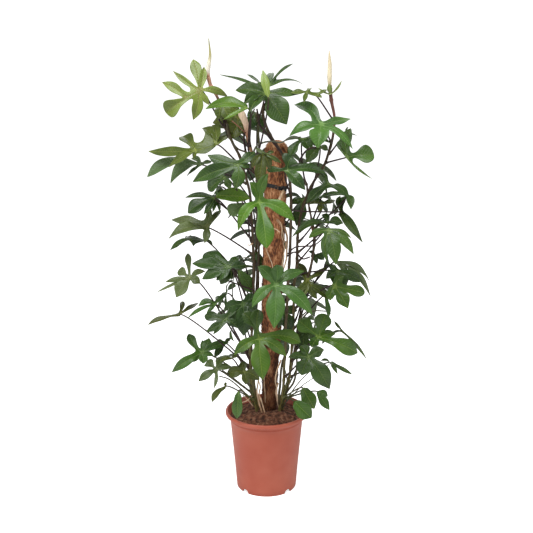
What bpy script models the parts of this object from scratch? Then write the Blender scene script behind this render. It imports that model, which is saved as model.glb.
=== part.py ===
"""A potted climbing philodendron: lobed leaves on long leafstalks, several vines tied
to a coir-covered pole, potting mix, and a tapered plastic nursery pot.

Units are metres, +Z is up. The origin is under the middle of the whole plant, on the
surface that the pot stands on. Every piece is modelled about the pot's axis, and its
object is then placed at PLANT_SHIFT.
"""
import math
import random

import bmesh
import bpy
from mathutils import Matrix, Vector

# ---------------------------------------------------------------- driving dimensions
PLANT_SHIFT = Vector((0.025, 0.0, 0.0))   # from the middle of the plant to the pot's axis
GAP = 0.0003                              # clearance between pieces that touch

POT_HEIGHT = 0.242
RIM_RADIUS = 0.122                        # outside of the rolled rim
POT_TOP_RADIUS = 0.108                    # wall just under the rim
POT_FOOT_RADIUS = 0.089
WALL = 0.0022
FLOOR_HEIGHT = 0.012                      # underside of the raised floor
NOTCH_RADIUS = 0.011                      # drainage arches in the foot
POT_SIDES = 40

SOIL_EDGE = 0.224                         # height of the mix at the pot's wall
SOIL_CROWN = 0.246                        # height of the mound round the pole

POLE_LEAN = 0.0268                        # sideways drift of the pole for each metre up
POLE_BOTTOM = 0.120
POLE_TOP = 1.050
POLE_SIDES = 18
STAKE_RADIUS = 0.012
STAKE_BOTTOM = 0.030
STAKE_TOP = 0.960
# height and outside radius of the coir sleeve
POLE_PROFILE = [(0.120, 0.0205), (0.290, 0.0215), (0.370, 0.0250), (0.460, 0.0285),
                (0.620, 0.0300), (0.780, 0.0305), (0.950, 0.0320), (1.020, 0.0325)]

TIE_HEIGHT = 0.922
TIE_WIDTH = 0.009
TIE_THICKNESS = 0.002

STALK_BASE = 0.0021                       # radius of a leafstalk at the vine
STALK_TIP = 0.0015                        # and under the blade
BLADE_THICKNESS = 0.0024                  # at the ribs; the rim runs out thin
STALK_STEPS = 6
STALK_SIDES = 5

# ---------------------------------------------------------------- colours
TERRACOTTA = (0.47, 0.11, 0.065)
PEAT = (0.075, 0.035, 0.020)
COIR = (0.33, 0.12, 0.045)
TIMBER = (0.45, 0.30, 0.16)
TIE_BLACK = (0.012, 0.012, 0.013)
VINE_BROWN = (0.060, 0.045, 0.030)
SHEATH_CREAM = (0.60, 0.48, 0.25)
ROOT_TAN = (0.48, 0.32, 0.17)
LEAF_GREENS = {"dark": (0.035, 0.105, 0.030), "mid": (0.070, 0.190, 0.035),
               "young": (0.190, 0.310, 0.050)}


def material(name, colour, roughness):
    """A plain finish: one colour and one roughness."""
    finish = bpy.data.materials.new(name)
    finish.use_nodes = True
    shader = finish.node_tree.nodes["Principled BSDF"]
    shader.inputs["Base Color"].default_value = (*colour, 1.0)
    shader.inputs["Roughness"].default_value = roughness
    shader.inputs["Metallic"].default_value = 0.0
    finish.diffuse_color = (*colour, 1.0)
    return finish


def add_object(name, mesh, finish):
    """Place a mesh, modelled about the pot's axis, in the scene."""
    mesh.materials.append(finish)
    piece = bpy.data.objects.new(name, mesh)
    piece.location = PLANT_SHIFT
    bpy.context.scene.collection.objects.link(piece)
    return piece


def mesh_from(build, name):
    """Turn a finished bmesh into a mesh with outward faces."""
    bmesh.ops.recalc_face_normals(build, faces=build.faces)
    mesh = bpy.data.meshes.new(name)
    build.to_mesh(mesh)
    build.free()
    return mesh


def turned(name, profile, sides):
    """Turn a closed half-section, (radius, height) from the axis back to the axis."""
    build = bmesh.new()
    points = [build.verts.new((radius, 0.0, height)) for radius, height in profile]
    edges = [build.edges.new(pair) for pair in zip(points, points[1:])]
    bmesh.ops.spin(build, geom=points + edges, cent=(0, 0, 0), axis=(0, 0, 1),
                   angle=2 * math.pi, steps=sides, use_merge=True)
    bmesh.ops.remove_doubles(build, verts=build.verts, dist=1e-5)
    return mesh_from(build, name)


def smooth_route(points, steps):
    """Points along a smooth curve through the given ones (Catmull-Rom)."""
    ends = [2 * points[0] - points[1]] + points + [2 * points[-1] - points[-2]]
    route = []
    for before, start, finish, after in zip(ends, ends[1:], ends[2:], ends[3:]):
        for step in range(steps):
            t = step / steps
            route.append(0.5 * (2 * start + (finish - before) * t
                                + (2 * before - 5 * start + 4 * finish - after) * t ** 2
                                + (3 * start - before - 3 * finish + after) * t ** 3))
    return route + [points[-1]]


def tube(build, route, radii, sides, flatness=1.0):
    """Add a closed tube along a route. flatness under 1 presses it thin across."""
    across = (route[1] - route[0]).orthogonal().normalized()
    rings = []
    for index, point in enumerate(route):
        ahead = route[min(index + 1, len(route) - 1)]
        behind = route[max(index - 1, 0)]
        along = (ahead - behind).normalized()
        across = (across - along * across.dot(along)).normalized()
        other = along.cross(across)
        ring = []
        for side in range(sides):
            turn = 2 * math.pi * side / sides
            reach = across * math.cos(turn) + other * math.sin(turn) * flatness
            ring.append(build.verts.new(point + reach * radii[index]))
        rings.append(ring)
    for lower, upper in zip(rings, rings[1:]):
        for side in range(sides):
            after = (side + 1) % sides
            build.faces.new((lower[side], lower[after], upper[after], upper[side]))
    build.faces.new(rings[0])
    build.faces.new(rings[-1])


def tube_mesh(name, route, radii, sides, flatness=1.0):
    build = bmesh.new()
    tube(build, route, radii, sides, flatness)
    return mesh_from(build, name)


def taper(start, finish, count):
    """Evenly stepped radii from start to finish."""
    return [start + (finish - start) * step / (count - 1) for step in range(count)]


def combine(piece, other, operation):
    """Join or cut with a second mesh by an exact Boolean, and keep only the result."""
    helper = bpy.data.objects.new("helper", other)
    helper.location = piece.location
    bpy.context.scene.collection.objects.link(helper)
    step = piece.modifiers.new(operation, "BOOLEAN")
    step.operation = operation
    step.solver = "EXACT"
    step.object = helper
    graph = bpy.context.evaluated_depsgraph_get()
    result = bpy.data.meshes.new_from_object(piece.evaluated_get(graph))
    piece.modifiers.clear()
    piece.data = result
    bpy.data.objects.remove(helper)


# ---------------------------------------------------------------- pole
def pole_axis(height):
    return Vector((POLE_LEAN * height, 0.0, height))


def pole_radius(height):
    for (low, thin), (high, thick) in zip(POLE_PROFILE, POLE_PROFILE[1:]):
        if height <= high:
            return thin + (thick - thin) * (height - low) / (high - low)
    return POLE_PROFILE[-1][1]


def on_pole(heading, height, lift):
    """A point on the coir: heading in degrees from +X, lift out from its surface."""
    turn = math.radians(heading)
    outward = Vector((math.cos(turn), math.sin(turn), 0.0))
    return pole_axis(height) + outward * (pole_radius(height) + lift)


def build_pole():
    """A coir sleeve with a domed top, open below, round a square-cut timber stake."""
    coir = material("coir", COIR, 0.95)
    timber = material("timber", TIMBER, 0.8)
    dome = [(1.038, 0.0280), (1.047, 0.0180)]
    profile = [(0.0, POLE_BOTTOM)]
    profile += [(radius, height) for height, radius in POLE_PROFILE + dome]
    profile += [(0.0, POLE_TOP)]
    lean = Matrix.Shear("XY", 4, (POLE_LEAN, 0.0))
    sleeve = turned("coir_pole", profile, POLE_SIDES)
    sleeve.transform(lean)
    pole = add_object("coir_pole", sleeve, coir)
    bore = turned("bore", [(0.0, POLE_BOTTOM - 0.01), (STAKE_RADIUS + GAP, POLE_BOTTOM - 0.01),
                           (STAKE_RADIUS + GAP, STAKE_TOP + GAP), (0.0, STAKE_TOP + GAP)], 12)
    bore.transform(lean)
    combine(pole, bore, "DIFFERENCE")
    stake = turned("pole_stake", [(0.0, STAKE_BOTTOM), (STAKE_RADIUS, STAKE_BOTTOM),
                                  (STAKE_RADIUS, STAKE_TOP), (0.0, STAKE_TOP)], 12)
    stake.transform(lean)
    add_object("pole_stake", stake, timber)


def build_tie():
    """A flat black tie drawn round the pole, with a knot and a short tail."""
    black = material("tie", TIE_BLACK, 0.6)
    inner = pole_radius(TIE_HEIGHT + TIE_WIDTH / 2) + GAP
    outer = inner + TIE_THICKNESS
    low, high = TIE_HEIGHT - TIE_WIDTH / 2, TIE_HEIGHT + TIE_WIDTH / 2
    build = bmesh.new()
    corners = [(inner, low), (outer, low), (outer, high), (inner, high)]
    points = [build.verts.new((radius, 0.0, height)) for radius, height in corners]
    edges = [build.edges.new((points[i], points[(i + 1) % 4])) for i in range(4)]
    bmesh.ops.spin(build, geom=points + edges, cent=(0, 0, 0), axis=(0, 0, 1),
                   angle=2 * math.pi, steps=POLE_SIDES, use_merge=True)
    bmesh.ops.remove_doubles(build, verts=build.verts, dist=1e-5)
    band = mesh_from(build, "pole_tie")
    band.transform(Matrix.Shear("XY", 4, (POLE_LEAN, 0.0)))
    tie = add_object("pole_tie", band, black)
    tail = [on_pole(-34, TIE_HEIGHT, 0.0045), on_pole(-26, TIE_HEIGHT, 0.0075),
            on_pole(-16, TIE_HEIGHT - 0.002, 0.016)]
    combine(tie, tube_mesh("tail", tail, [0.0035, 0.0030, 0.0016], 6), "UNION")


# ---------------------------------------------------------------- vines
# Each vine: radius at its foot and its end, then the points that it grows through.
VINES = {
    "vine_left_tall": (0.0040, 0.0036, [
        (-0.029, -0.022, 0.190), (-0.031, -0.024, 0.262), (-0.045, -0.032, 0.330),
        (-0.049, -0.030, 0.400), (-0.043, -0.024, 0.480), (-0.037, -0.020, 0.580),
        (-0.037, -0.020, 0.684), (-0.040, -0.020, 0.800), (-0.050, -0.022, 0.915),
        (-0.072, -0.028, 1.000), (-0.091, -0.026, 1.040), (-0.107, -0.016, 1.085),
        (-0.131, 0.000, 1.160), (-0.151, 0.000, 1.196), (-0.159, 0.000, 1.222)]),
    "vine_left_inner": (0.0038, 0.0030, [
        (-0.024, -0.008, 0.195), (-0.026, -0.009, 0.262), (-0.036, -0.011, 0.330),
        (-0.035, -0.002, 0.400), (-0.029, 0.005, 0.500), (-0.023, 0.004, 0.684),
        (-0.022, -0.002, 0.800), (-0.024, -0.020, 0.915), (-0.037, -0.040, 1.000),
        (-0.051, -0.042, 1.066)]),
    "vine_left_back": (0.0038, 0.0030, [
        (-0.025, 0.010, 0.195), (-0.028, 0.012, 0.262), (-0.043, 0.022, 0.340),
        (-0.044, 0.034, 0.430), (-0.038, 0.040, 0.600), (-0.026, 0.044, 0.800),
        (-0.020, 0.046, 0.960), (-0.023, 0.044, 1.060), (-0.028, 0.036, 1.120)]),
    "vine_crown": (0.0041, 0.0038, [
        (0.038, -0.020, 0.195), (0.040, -0.022, 0.262), (0.050, -0.032, 0.330),
        (0.053, -0.037, 0.420), (0.057, -0.034, 0.560), (0.066, -0.028, 0.740),
        (0.068, -0.030, 0.880), (0.064, -0.040, 0.960), (0.046, -0.052, 1.014),
        (0.006, -0.054, 1.080), (-0.009, -0.054, 1.126), (-0.006, -0.056, 1.158)]),
    "vine_right_tall": (0.0039, 0.0036, [
        (0.047, -0.008, 0.190), (0.050, -0.008, 0.262), (0.063, -0.010, 0.330),
        (0.074, -0.014, 0.430), (0.078, -0.014, 0.593), (0.086, -0.014, 0.712),
        (0.090, -0.016, 0.799), (0.104, -0.012, 0.869), (0.128, -0.006, 0.924),
        (0.160, 0.000, 0.977), (0.175, 0.000, 1.021), (0.184, 0.000, 1.060),
        (0.189, 0.000, 1.113), (0.178, 0.000, 1.160), (0.173, 0.000, 1.200)]),
    "vine_right_outer": (0.0036, 0.0026, [
        (0.044, 0.009, 0.195), (0.047, 0.010, 0.262), (0.067, 0.012, 0.340),
        (0.085, 0.010, 0.441), (0.104, 0.000, 0.593), (0.126, -0.022, 0.700),
        (0.134, -0.032, 0.765), (0.128, -0.034, 0.817), (0.118, -0.034, 0.869),
        (0.112, -0.036, 0.930)]),
    "vine_back": (0.0040, 0.0028, [
        (0.016, 0.034, 0.195), (0.018, 0.036, 0.262), (0.028, 0.050, 0.350),
        (0.030, 0.054, 0.450), (0.030, 0.056, 0.650), (0.034, 0.058, 0.850),
        (0.044, 0.060, 1.000), (0.052, 0.064, 1.090)]),
}
VINE_SIDES = 7
VINE_STEPS = 2


def vine_route(name):
    return smooth_route([Vector(point) for point in VINES[name][2]], VINE_STEPS)


def vine_at(name, height):
    """Centre, direction and radius of a vine at a height."""
    route = vine_route(name)
    foot, end = VINES[name][:2]
    radii = taper(foot, end, len(route))
    for index in range(len(route) - 1):
        low, high = route[index], route[index + 1]
        if low.z <= height <= high.z:
            share = (height - low.z) / (high.z - low.z)
            return low.lerp(high, share), (high - low).normalized(), radii[index]
    return route[-1], (route[-1] - route[-2]).normalized(), radii[-1]


def build_vines():
    bark = material("vine", VINE_BROWN, 0.55)
    for name, (foot, end, _) in VINES.items():
        route = vine_route(name)
        radii = taper(foot, end, len(route))
        add_object(name, tube_mesh(name, route, radii, VINE_SIDES), bark)


# ---------------------------------------------------------------- sheaths
# The papery sleeve round a growing tip: its vine, how flat it is, its half-widths, and
# the points up its middle above the foot.
SHEATHS = {
    "sheath_left": ("vine_left_tall", 0.7, [0.0034, 0.0042, 0.0046, 0.0040, 0.0026, 0.0008], [
        (-0.160, 0.000, 1.240), (-0.156, 0.000, 1.262), (-0.153, 0.000, 1.284),
        (-0.1565, 0.000, 1.326)]),
    "sheath_middle": ("vine_left_inner", 0.4, [0.0028, 0.0050, 0.0085, 0.0115, 0.0140, 0.0100], [
        (-0.055, -0.042, 1.086), (-0.058, -0.042, 1.105), (-0.062, -0.042, 1.124),
        (-0.064, -0.042, 1.134)]),
    "sheath_right": ("vine_right_tall", 0.7, [0.0034, 0.0044, 0.0054, 0.0042, 0.0010], [
        (0.171, 0.000, 1.224), (0.170, 0.000, 1.258), (0.169, 0.000, 1.292)]),
}
SHEATH_COLLAR = 0.005            # straight foot of a sheath, in line with its vine


def build_sheaths():
    cream = material("sheath", SHEATH_CREAM, 0.6)
    for name, (vine, flatness, radii, points) in SHEATHS.items():
        below, end = vine_route(vine)[-2:]
        onward = (end - below).normalized()
        route = [end + onward * GAP, end + onward * SHEATH_COLLAR]
        route += [Vector(point) for point in points]
        add_object(name, tube_mesh(name, route, radii, 8, flatness), cream)


# ---------------------------------------------------------------- aerial roots
ROOT_RADIUS = 0.002
# Roots that cling to the coir: heading round the pole and height of each point.
CLINGING_ROOTS = {
    "root_long": [(-81, 0.829), (-65, 0.819), (-51, 0.804), (-46, 0.780), (-24, 0.747),
                  (-18, 0.715), (-26, 0.692), (-46, 0.671), (-50, 0.645)],
    "root_front": [(-133, 0.748), (-124, 0.735), (-113, 0.723), (-97, 0.703), (-92, 0.688)],
    "root_low": [(-132, 0.400), (-126, 0.370), (-130, 0.335), (-122, 0.300), (-118, 0.272)],
}


def build_roots():
    tan = material("root", ROOT_TAN, 0.8)
    for name, places in CLINGING_ROOTS.items():
        lift = ROOT_RADIUS + 2 * GAP
        route = smooth_route([on_pole(heading, height, lift) for heading, height in places], 2)
        add_object(name, tube_mesh(name, route, taper(ROOT_RADIUS, 0.001, len(route)), 6), tan)


# ---------------------------------------------------------------- leaves
# A leaf form on a blade of unit length, hub to tip. The side lobes are given for one
# half: where they leave the midrib, heading off it in degrees, length, half width.
FORMS = {
    "seven": {"fork": 0.34, "end": 0.205,
              "lobes": [(0.0, 142, 0.50, 0.120), (0.0, 92, 0.66, 0.130),
                        (0.34, 52, 0.62, 0.130)]},
    "five": {"fork": 0.0, "end": 0.225,
             "lobes": [(0.0, 124, 0.68, 0.150), (0.0, 58, 0.86, 0.140)]},
    "three": {"fork": 0.0, "end": 0.290,
              "lobes": [(0.0, 112, 0.52, 0.190)]},
}
RIB_STATIONS = (0.36, 0.68)      # along a lobe: two ribs' joints, then its tip
WIDTHS = (0.74, 1.0)             # share of the half width at those joints
FOLD = 0.30                      # rise of the blade each side of a rib
BACK_SINUS = 0.035               # notch behind the hub
SINUS = 0.13                     # notch between two lobes that share a root

# name: vine, height on it, hub, tip, where the top looks, form, bend in degrees, tone
LEAVES = {
    "leaf_01": ("vine_left_tall", 1.080, (-0.182, -0.035, 1.186), (-0.272, -0.065, 1.118),
                (0.1, -1.0, 0.3), "seven", 30, "young"),
    "leaf_02": ("vine_left_inner", 1.040, (-0.053, -0.120, 1.154), (-0.160, -0.175, 1.159),
                (0.0, -0.5, 1.0), "three", 30, "mid"),
    "leaf_03": ("vine_crown", 1.140, (-0.009, -0.055, 1.175), (0.041, -0.125, 1.106),
                (0.0, -0.8, 0.6), "seven", 50, "dark"),
    "leaf_04": ("vine_right_tall", 1.125, (0.136, -0.030, 1.176), (0.064, -0.060, 1.189),
                (0.0, 0.0, 1.0), "five", 20, "young"),
    "leaf_05": ("vine_right_tall", 1.040, (0.149, -0.090, 1.108), (0.132, -0.180, 1.055),
                (0.0, -0.5, 1.0), "five", 50, "mid"),
    "leaf_06": ("vine_right_tall", 0.985, (0.221, -0.050, 1.011), (0.278, -0.090, 0.985),
                (-0.3, -0.8, 0.5), "five", 30, "dark"),
    "leaf_07": ("vine_left_tall", 0.985, (-0.136, -0.050, 1.047), (-0.258, -0.105, 0.989),
                (-0.2, -0.8, 0.8), "seven", 40, "young"),
    "leaf_08": ("vine_left_tall", 0.930, (-0.206, 0.030, 0.984), (-0.326, -0.010, 0.947),
                (0.0, -0.6, 0.8), "seven", 40, "mid"),
    "leaf_09": ("vine_left_inner", 0.960, (-0.075, -0.130, 1.006), (-0.198, -0.170, 0.966),
                (0.0, -1.0, 0.5), "five", 30, "dark"),
    "leaf_10": ("vine_left_back", 1.100, (-0.001, 0.020, 1.190), (0.005, 0.130, 1.230),
                (0.0, 0.0, 1.0), "seven", 40, "dark"),
    "leaf_11": ("vine_crown", 0.900, (0.053, -0.108, 0.980), (0.163, -0.138, 0.983),
                (0.0, -0.8, 0.6), "five", 40, "dark"),
    "leaf_12": ("vine_left_inner", 0.800, (-0.018, -0.188, 0.912), (-0.010, -0.257, 0.805),
                (0.0, -0.7, 0.7), "five", 50, "mid"),
    "leaf_13": ("vine_left_tall", 0.770, (-0.146, -0.020, 0.892), (-0.214, -0.070, 0.861),
                (0.0, -0.7, 0.7), "five", 40, "mid"),
    "leaf_14": ("vine_left_tall", 0.725, (-0.160, 0.000, 0.798), (-0.276, -0.030, 0.778),
                (0.0, -0.5, 0.9), "seven", 20, "mid"),
    "leaf_15": ("vine_left_back", 0.600, (-0.173, 0.050, 0.749), (-0.281, 0.060, 0.714),
                (0.0, 0.2, 1.0), "five", 30, "dark"),
    "leaf_16": ("vine_left_tall", 0.505, (-0.096, -0.090, 0.712), (-0.205, -0.120, 0.732),
                (0.0, -1.0, 0.5), "five", 30, "mid"),
    "leaf_17": ("vine_left_back", 0.400, (-0.225, 0.000, 0.641), (-0.268, -0.060, 0.608),
                (-0.2, -0.8, 0.6), "seven", 30, "mid"),
    "leaf_18": ("vine_left_tall", 0.390, (-0.249, 0.000, 0.540), (-0.346, 0.010, 0.510),
                (0.0, 0.0, 1.0), "three", 30, "mid"),
    "leaf_19": ("vine_left_inner", 0.385, (-0.146, -0.060, 0.586), (-0.222, -0.090, 0.557),
                (0.0, -0.2, 1.0), "five", 30, "mid"),
    "leaf_20": ("vine_left_tall", 0.415, (-0.113, -0.118, 0.563), (-0.174, -0.138, 0.575),
                (0.0, -0.8, 0.6), "five", 30, "mid"),
    "leaf_21": ("vine_left_back", 0.325, (-0.195, 0.000, 0.423), (-0.278, -0.020, 0.363),
                (0.0, -0.9, 0.5), "five", 20, "mid"),
    "leaf_22": ("vine_left_tall", 0.310, (-0.134, -0.080, 0.412), (-0.171, -0.120, 0.390),
                (-0.5, 0.0, 0.8), "five", 50, "mid"),
    "leaf_23": ("vine_left_tall", 0.540, (-0.065, -0.100, 0.607), (-0.065, -0.130, 0.520),
                (0.0, -1.0, 0.3), "three", 30, "dark"),
    "leaf_24": ("vine_left_tall", 0.285, (-0.080, -0.110, 0.341), (-0.085, -0.140, 0.275),
                (0.0, -1.0, 0.2), "three", 30, "dark"),
    "leaf_25": ("vine_left_tall", 0.300, (-0.056, -0.070, 0.388), (-0.109, -0.110, 0.394),
                (0.0, -0.7, 0.7), "three", 40, "dark"),
    "leaf_26": ("vine_crown", 0.560, (0.024, -0.180, 0.682), (0.019, -0.230, 0.574),
                (0.0, -0.8, 0.6), "five", 50, "mid"),
    "leaf_27": ("vine_left_inner", 0.560, (-0.081, -0.012, 0.675), (-0.036, -0.032, 0.613),
                (0.2, -1.0, 0.3), "three", 40, "dark"),
    "leaf_28": ("vine_left_inner", 0.400, (-0.020, -0.180, 0.529), (-0.008, -0.225, 0.423),
                (0.0, -0.8, 0.6), "five", 50, "mid"),
    "leaf_29": ("vine_right_tall", 0.700, (0.172, -0.090, 0.808), (0.176, -0.140, 0.731),
                (0.0, -0.8, 0.6), "five", 40, "mid"),
    "leaf_30": ("vine_right_tall", 0.790, (0.209, 0.020, 0.841), (0.274, 0.030, 0.751),
                (0.8, 0.2, 0.5), "five", 20, "dark"),
    "leaf_31": ("vine_right_outer", 0.880, (0.177, -0.030, 0.929), (0.109, -0.080, 0.894),
                (0.0, -0.3, 0.9), "five", 40, "dark"),
    "leaf_32": ("vine_right_outer", 0.600, (0.207, 0.030, 0.689), (0.294, -0.020, 0.614),
                (0.4, -0.2, 0.9), "seven", 60, "mid"),
    "leaf_33": ("vine_right_tall", 0.560, (0.168, -0.060, 0.644), (0.279, -0.080, 0.639),
                (0.0, -0.8, 0.6), "five", 30, "mid"),
    "leaf_34": ("vine_right_tall", 0.400, (0.167, -0.045, 0.480), (0.262, -0.070, 0.438),
                (0.0, -0.9, 0.5), "five", 30, "mid"),
    "leaf_35": ("vine_crown", 0.360, (0.107, -0.102, 0.461), (0.177, -0.142, 0.364),
                (0.0, -0.9, 0.5), "five", 40, "mid"),
    "leaf_36": ("vine_crown", 0.290, (0.106, -0.060, 0.336), (0.139, -0.085, 0.281),
                (0.0, -0.9, 0.5), "three", 30, "mid"),
    "leaf_37": ("vine_right_tall", 0.280, (0.080, -0.100, 0.311), (0.127, -0.125, 0.262),
                (0.0, -0.9, 0.4), "three", 30, "mid"),
    "leaf_back_1": ("vine_left_back", 0.980, (-0.090, 0.125, 1.050), (-0.165, 0.215, 0.980),
                    (-0.2, 0.5, 1.0), "seven", 40, "mid"),
    "leaf_back_2": ("vine_back", 0.860, (0.100, 0.145, 0.950), (0.165, 0.235, 0.875),
                    (0.2, 0.5, 1.0), "five", 40, "mid"),
    "leaf_back_3": ("vine_back", 0.640, (-0.010, 0.165, 0.760), (-0.030, 0.254, 0.665),
                    (0.0, 0.8, 1.0), "seven", 40, "dark"),
    "leaf_back_4": ("vine_back", 0.420, (0.090, 0.145, 0.540), (0.145, 0.235, 0.460),
                    (0.2, 0.6, 1.0), "five", 40, "mid"),
}


def heading_vector(angle, half):
    """Unit vector in the flat blade, angle off the midrib towards one half (+1 or -1)."""
    turn = math.radians(angle)
    return Vector((half * math.sin(turn), math.cos(turn)))


class Cage:
    """The flat blade: rim points, rib points, and the faces that join them."""

    def __init__(self):
        self.points = []
        self.faces = []

    def add(self, place, lift=0.0, rib=False):
        self.points.append((place, lift, rib))
        return len(self.points) - 1

    def face(self, *corners):
        """Add a face, turned so that it looks up."""
        places = [self.points[corner][0] for corner in corners]
        area = sum(a.x * b.y - b.x * a.y for a, b in zip(places, places[1:] + places[:1]))
        self.faces.append(corners if area > 0 else corners[::-1])

    def lobe(self, root, start, heading, length, half_width, notches):
        """A lobe from its root to its tip. notches are the rim points at its two sides,
        or None on a side that belongs to another half."""
        tip = self.add(start + heading * length)
        ribs = [self.add(start + heading * length * station, rib=True)
                for station in RIB_STATIONS]
        sideways = Vector((-heading.y, heading.x))
        for side, notch in zip((1, -1), notches):
            edges = []
            for rib, share in zip(ribs, WIDTHS):
                reach = half_width * share
                place = self.points[rib][0] + sideways * side * reach
                edges.append(self.add(place, lift=FOLD * reach))
            self.face(root, notch, edges[0], ribs[0])
            self.face(ribs[0], edges[0], edges[1], ribs[1])
            self.face(ribs[1], edges[1], tip)


def leaf_cage(form_name, chance):
    """Lay out a lobed blade of unit length, each leaf a little different."""
    form = FORMS[form_name]
    fork = form["fork"]
    cage = Cage()
    hub = cage.add(Vector((0.0, 0.0)), rib=True)
    split = cage.add(Vector((0.0, fork)), rib=True) if fork else hub
    back = cage.add(Vector((0.0, -BACK_SINUS)))
    last_notches = {}
    for half in (1, -1):
        notch = back
        previous = None
        for origin, angle, length, width in form["lobes"]:
            angle += chance.uniform(-6, 6)
            length *= chance.uniform(0.92, 1.08)
            root = split if origin else hub
            if previous:
                if origin and not previous[0]:
                    place = Vector((half * 0.085, 0.55 * fork))
                else:
                    place = heading_vector((previous[1] + angle) / 2, half) * SINUS
                    place += Vector((0.0, origin))
                new_notch = cage.add(place, lift=0.02)
                add_lobe(cage, previous, half, (notch, new_notch))
                if origin and not previous[0]:
                    cage.face(hub, split, new_notch)
                notch = new_notch
            previous = (origin, angle, length, width, root)
        middle = heading_vector(previous[1] / 2, half) * SINUS + Vector((0.0, previous[0]))
        last = cage.add(middle, lift=0.02)
        add_lobe(cage, previous, half, (notch, last))
        last_notches[half] = last
    straight = Vector((0.0, 1.0))
    cage.lobe(split, Vector((0.0, fork)), straight, 1.0 - fork, form["end"],
              (last_notches[-1], last_notches[1]))
    return cage


def add_lobe(cage, lobe, half, notches):
    """Add a side lobe between the notch behind it and the notch in front of it."""
    origin, angle, length, width, root = lobe
    heading = heading_vector(angle, half)
    sides = (notches[1], notches[0]) if half > 0 else (notches[0], notches[1])
    cage.lobe(root, Vector((0.0, origin)), heading, length, width, sides)


def leaf_frame(hub, tip, facing, bend):
    """Axes of the blade at its hub, and the length of the midrib along its arch."""
    chord = tip - hub
    forward = chord.normalized()
    normal = (facing - forward * facing.dot(forward)).normalized()
    half_bend = math.radians(bend) / 2
    along = forward * math.cos(half_bend) + normal * math.sin(half_bend)
    up = normal * math.cos(half_bend) - forward * math.sin(half_bend)
    midrib = chord.length * half_bend / math.sin(half_bend)
    return along, up, along.cross(up), midrib


def bend_point(place, lift, bend, midrib):
    """Where a point of the flat blade lies once the blade arches down all round."""
    flat = place * midrib
    radius = flat.length
    if radius < 1e-9:
        return Vector((0.0, 0.0, lift * midrib))
    curl = math.radians(bend) / midrib
    reach = math.sin(curl * radius) / curl
    fall = (1 - math.cos(curl * radius)) / curl
    return Vector((flat.x / radius * reach, flat.y / radius * reach, lift * midrib - fall))


def blade_mesh(name, hub, tip, facing, form, bend, chance):
    """The blade as a closed lens: thick along the ribs, thin at the rim."""
    cage = leaf_cage(form, chance)
    along, up, right, midrib = leaf_frame(hub, tip, facing, bend)
    build = bmesh.new()
    top, under = [], []
    for place, lift, rib in cage.points:
        local = bend_point(place, lift, bend, midrib)
        centre = hub + right * local.x + along * local.y + up * local.z
        half_thick = up * BLADE_THICKNESS / 2
        top.append(build.verts.new(centre + half_thick if rib else centre))
        under.append(build.verts.new(centre - half_thick) if rib else top[-1])
    for corners in cage.faces:
        build.faces.new([top[corner] for corner in corners])
        build.faces.new([under[corner] for corner in reversed(corners)])
    return mesh_from(build, name)


def stalk_route(vine, height, hub, along, up):
    """A leafstalk: out of the vine, up, and over into the underside of the blade."""
    centre, upward, radius = vine_at(vine, height)
    outward = Vector((hub.x - centre.x, hub.y - centre.y, 0.0))
    outward = (outward - upward * outward.dot(upward)).normalized()
    leaving = (outward + upward * 0.8).normalized()
    tilted = STALK_BASE * leaving.dot(upward)
    start = centre + outward * (radius + tilted + GAP)
    arriving = (along * 0.8 + up * 0.5).normalized()
    span = (hub - start).length
    first = start + leaving * span * 0.18
    second = hub - arriving * span * 0.14
    route = []
    for step in range(STALK_STEPS + 1):
        t = step / STALK_STEPS
        route.append(start * (1 - t) ** 3 + first * 3 * t * (1 - t) ** 2
                     + second * 3 * t ** 2 * (1 - t) + hub * t ** 3)
    return route


def build_leaves():
    """Every leaf grows as one piece: a leafstalk joined to its lobed blade."""
    greens = {tone: material("leaf_" + tone, colour, 0.4)
              for tone, colour in LEAF_GREENS.items()}
    for seed, (name, leaf) in enumerate(LEAVES.items()):
        vine, height, hub, tip, facing, form, bend, tone = leaf
        hub, tip, facing = Vector(hub), Vector(tip), Vector(facing)
        chance = random.Random(seed)
        blade = blade_mesh(name, hub, tip, facing, form, bend, chance)
        piece = add_object(name, blade, greens[tone])
        along, up, _, _ = leaf_frame(hub, tip, facing, bend)
        route = stalk_route(vine, height, hub, along, up)
        radii = taper(STALK_BASE, STALK_TIP, len(route))
        combine(piece, tube_mesh("stalk", route, radii, STALK_SIDES), "UNION")


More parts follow.
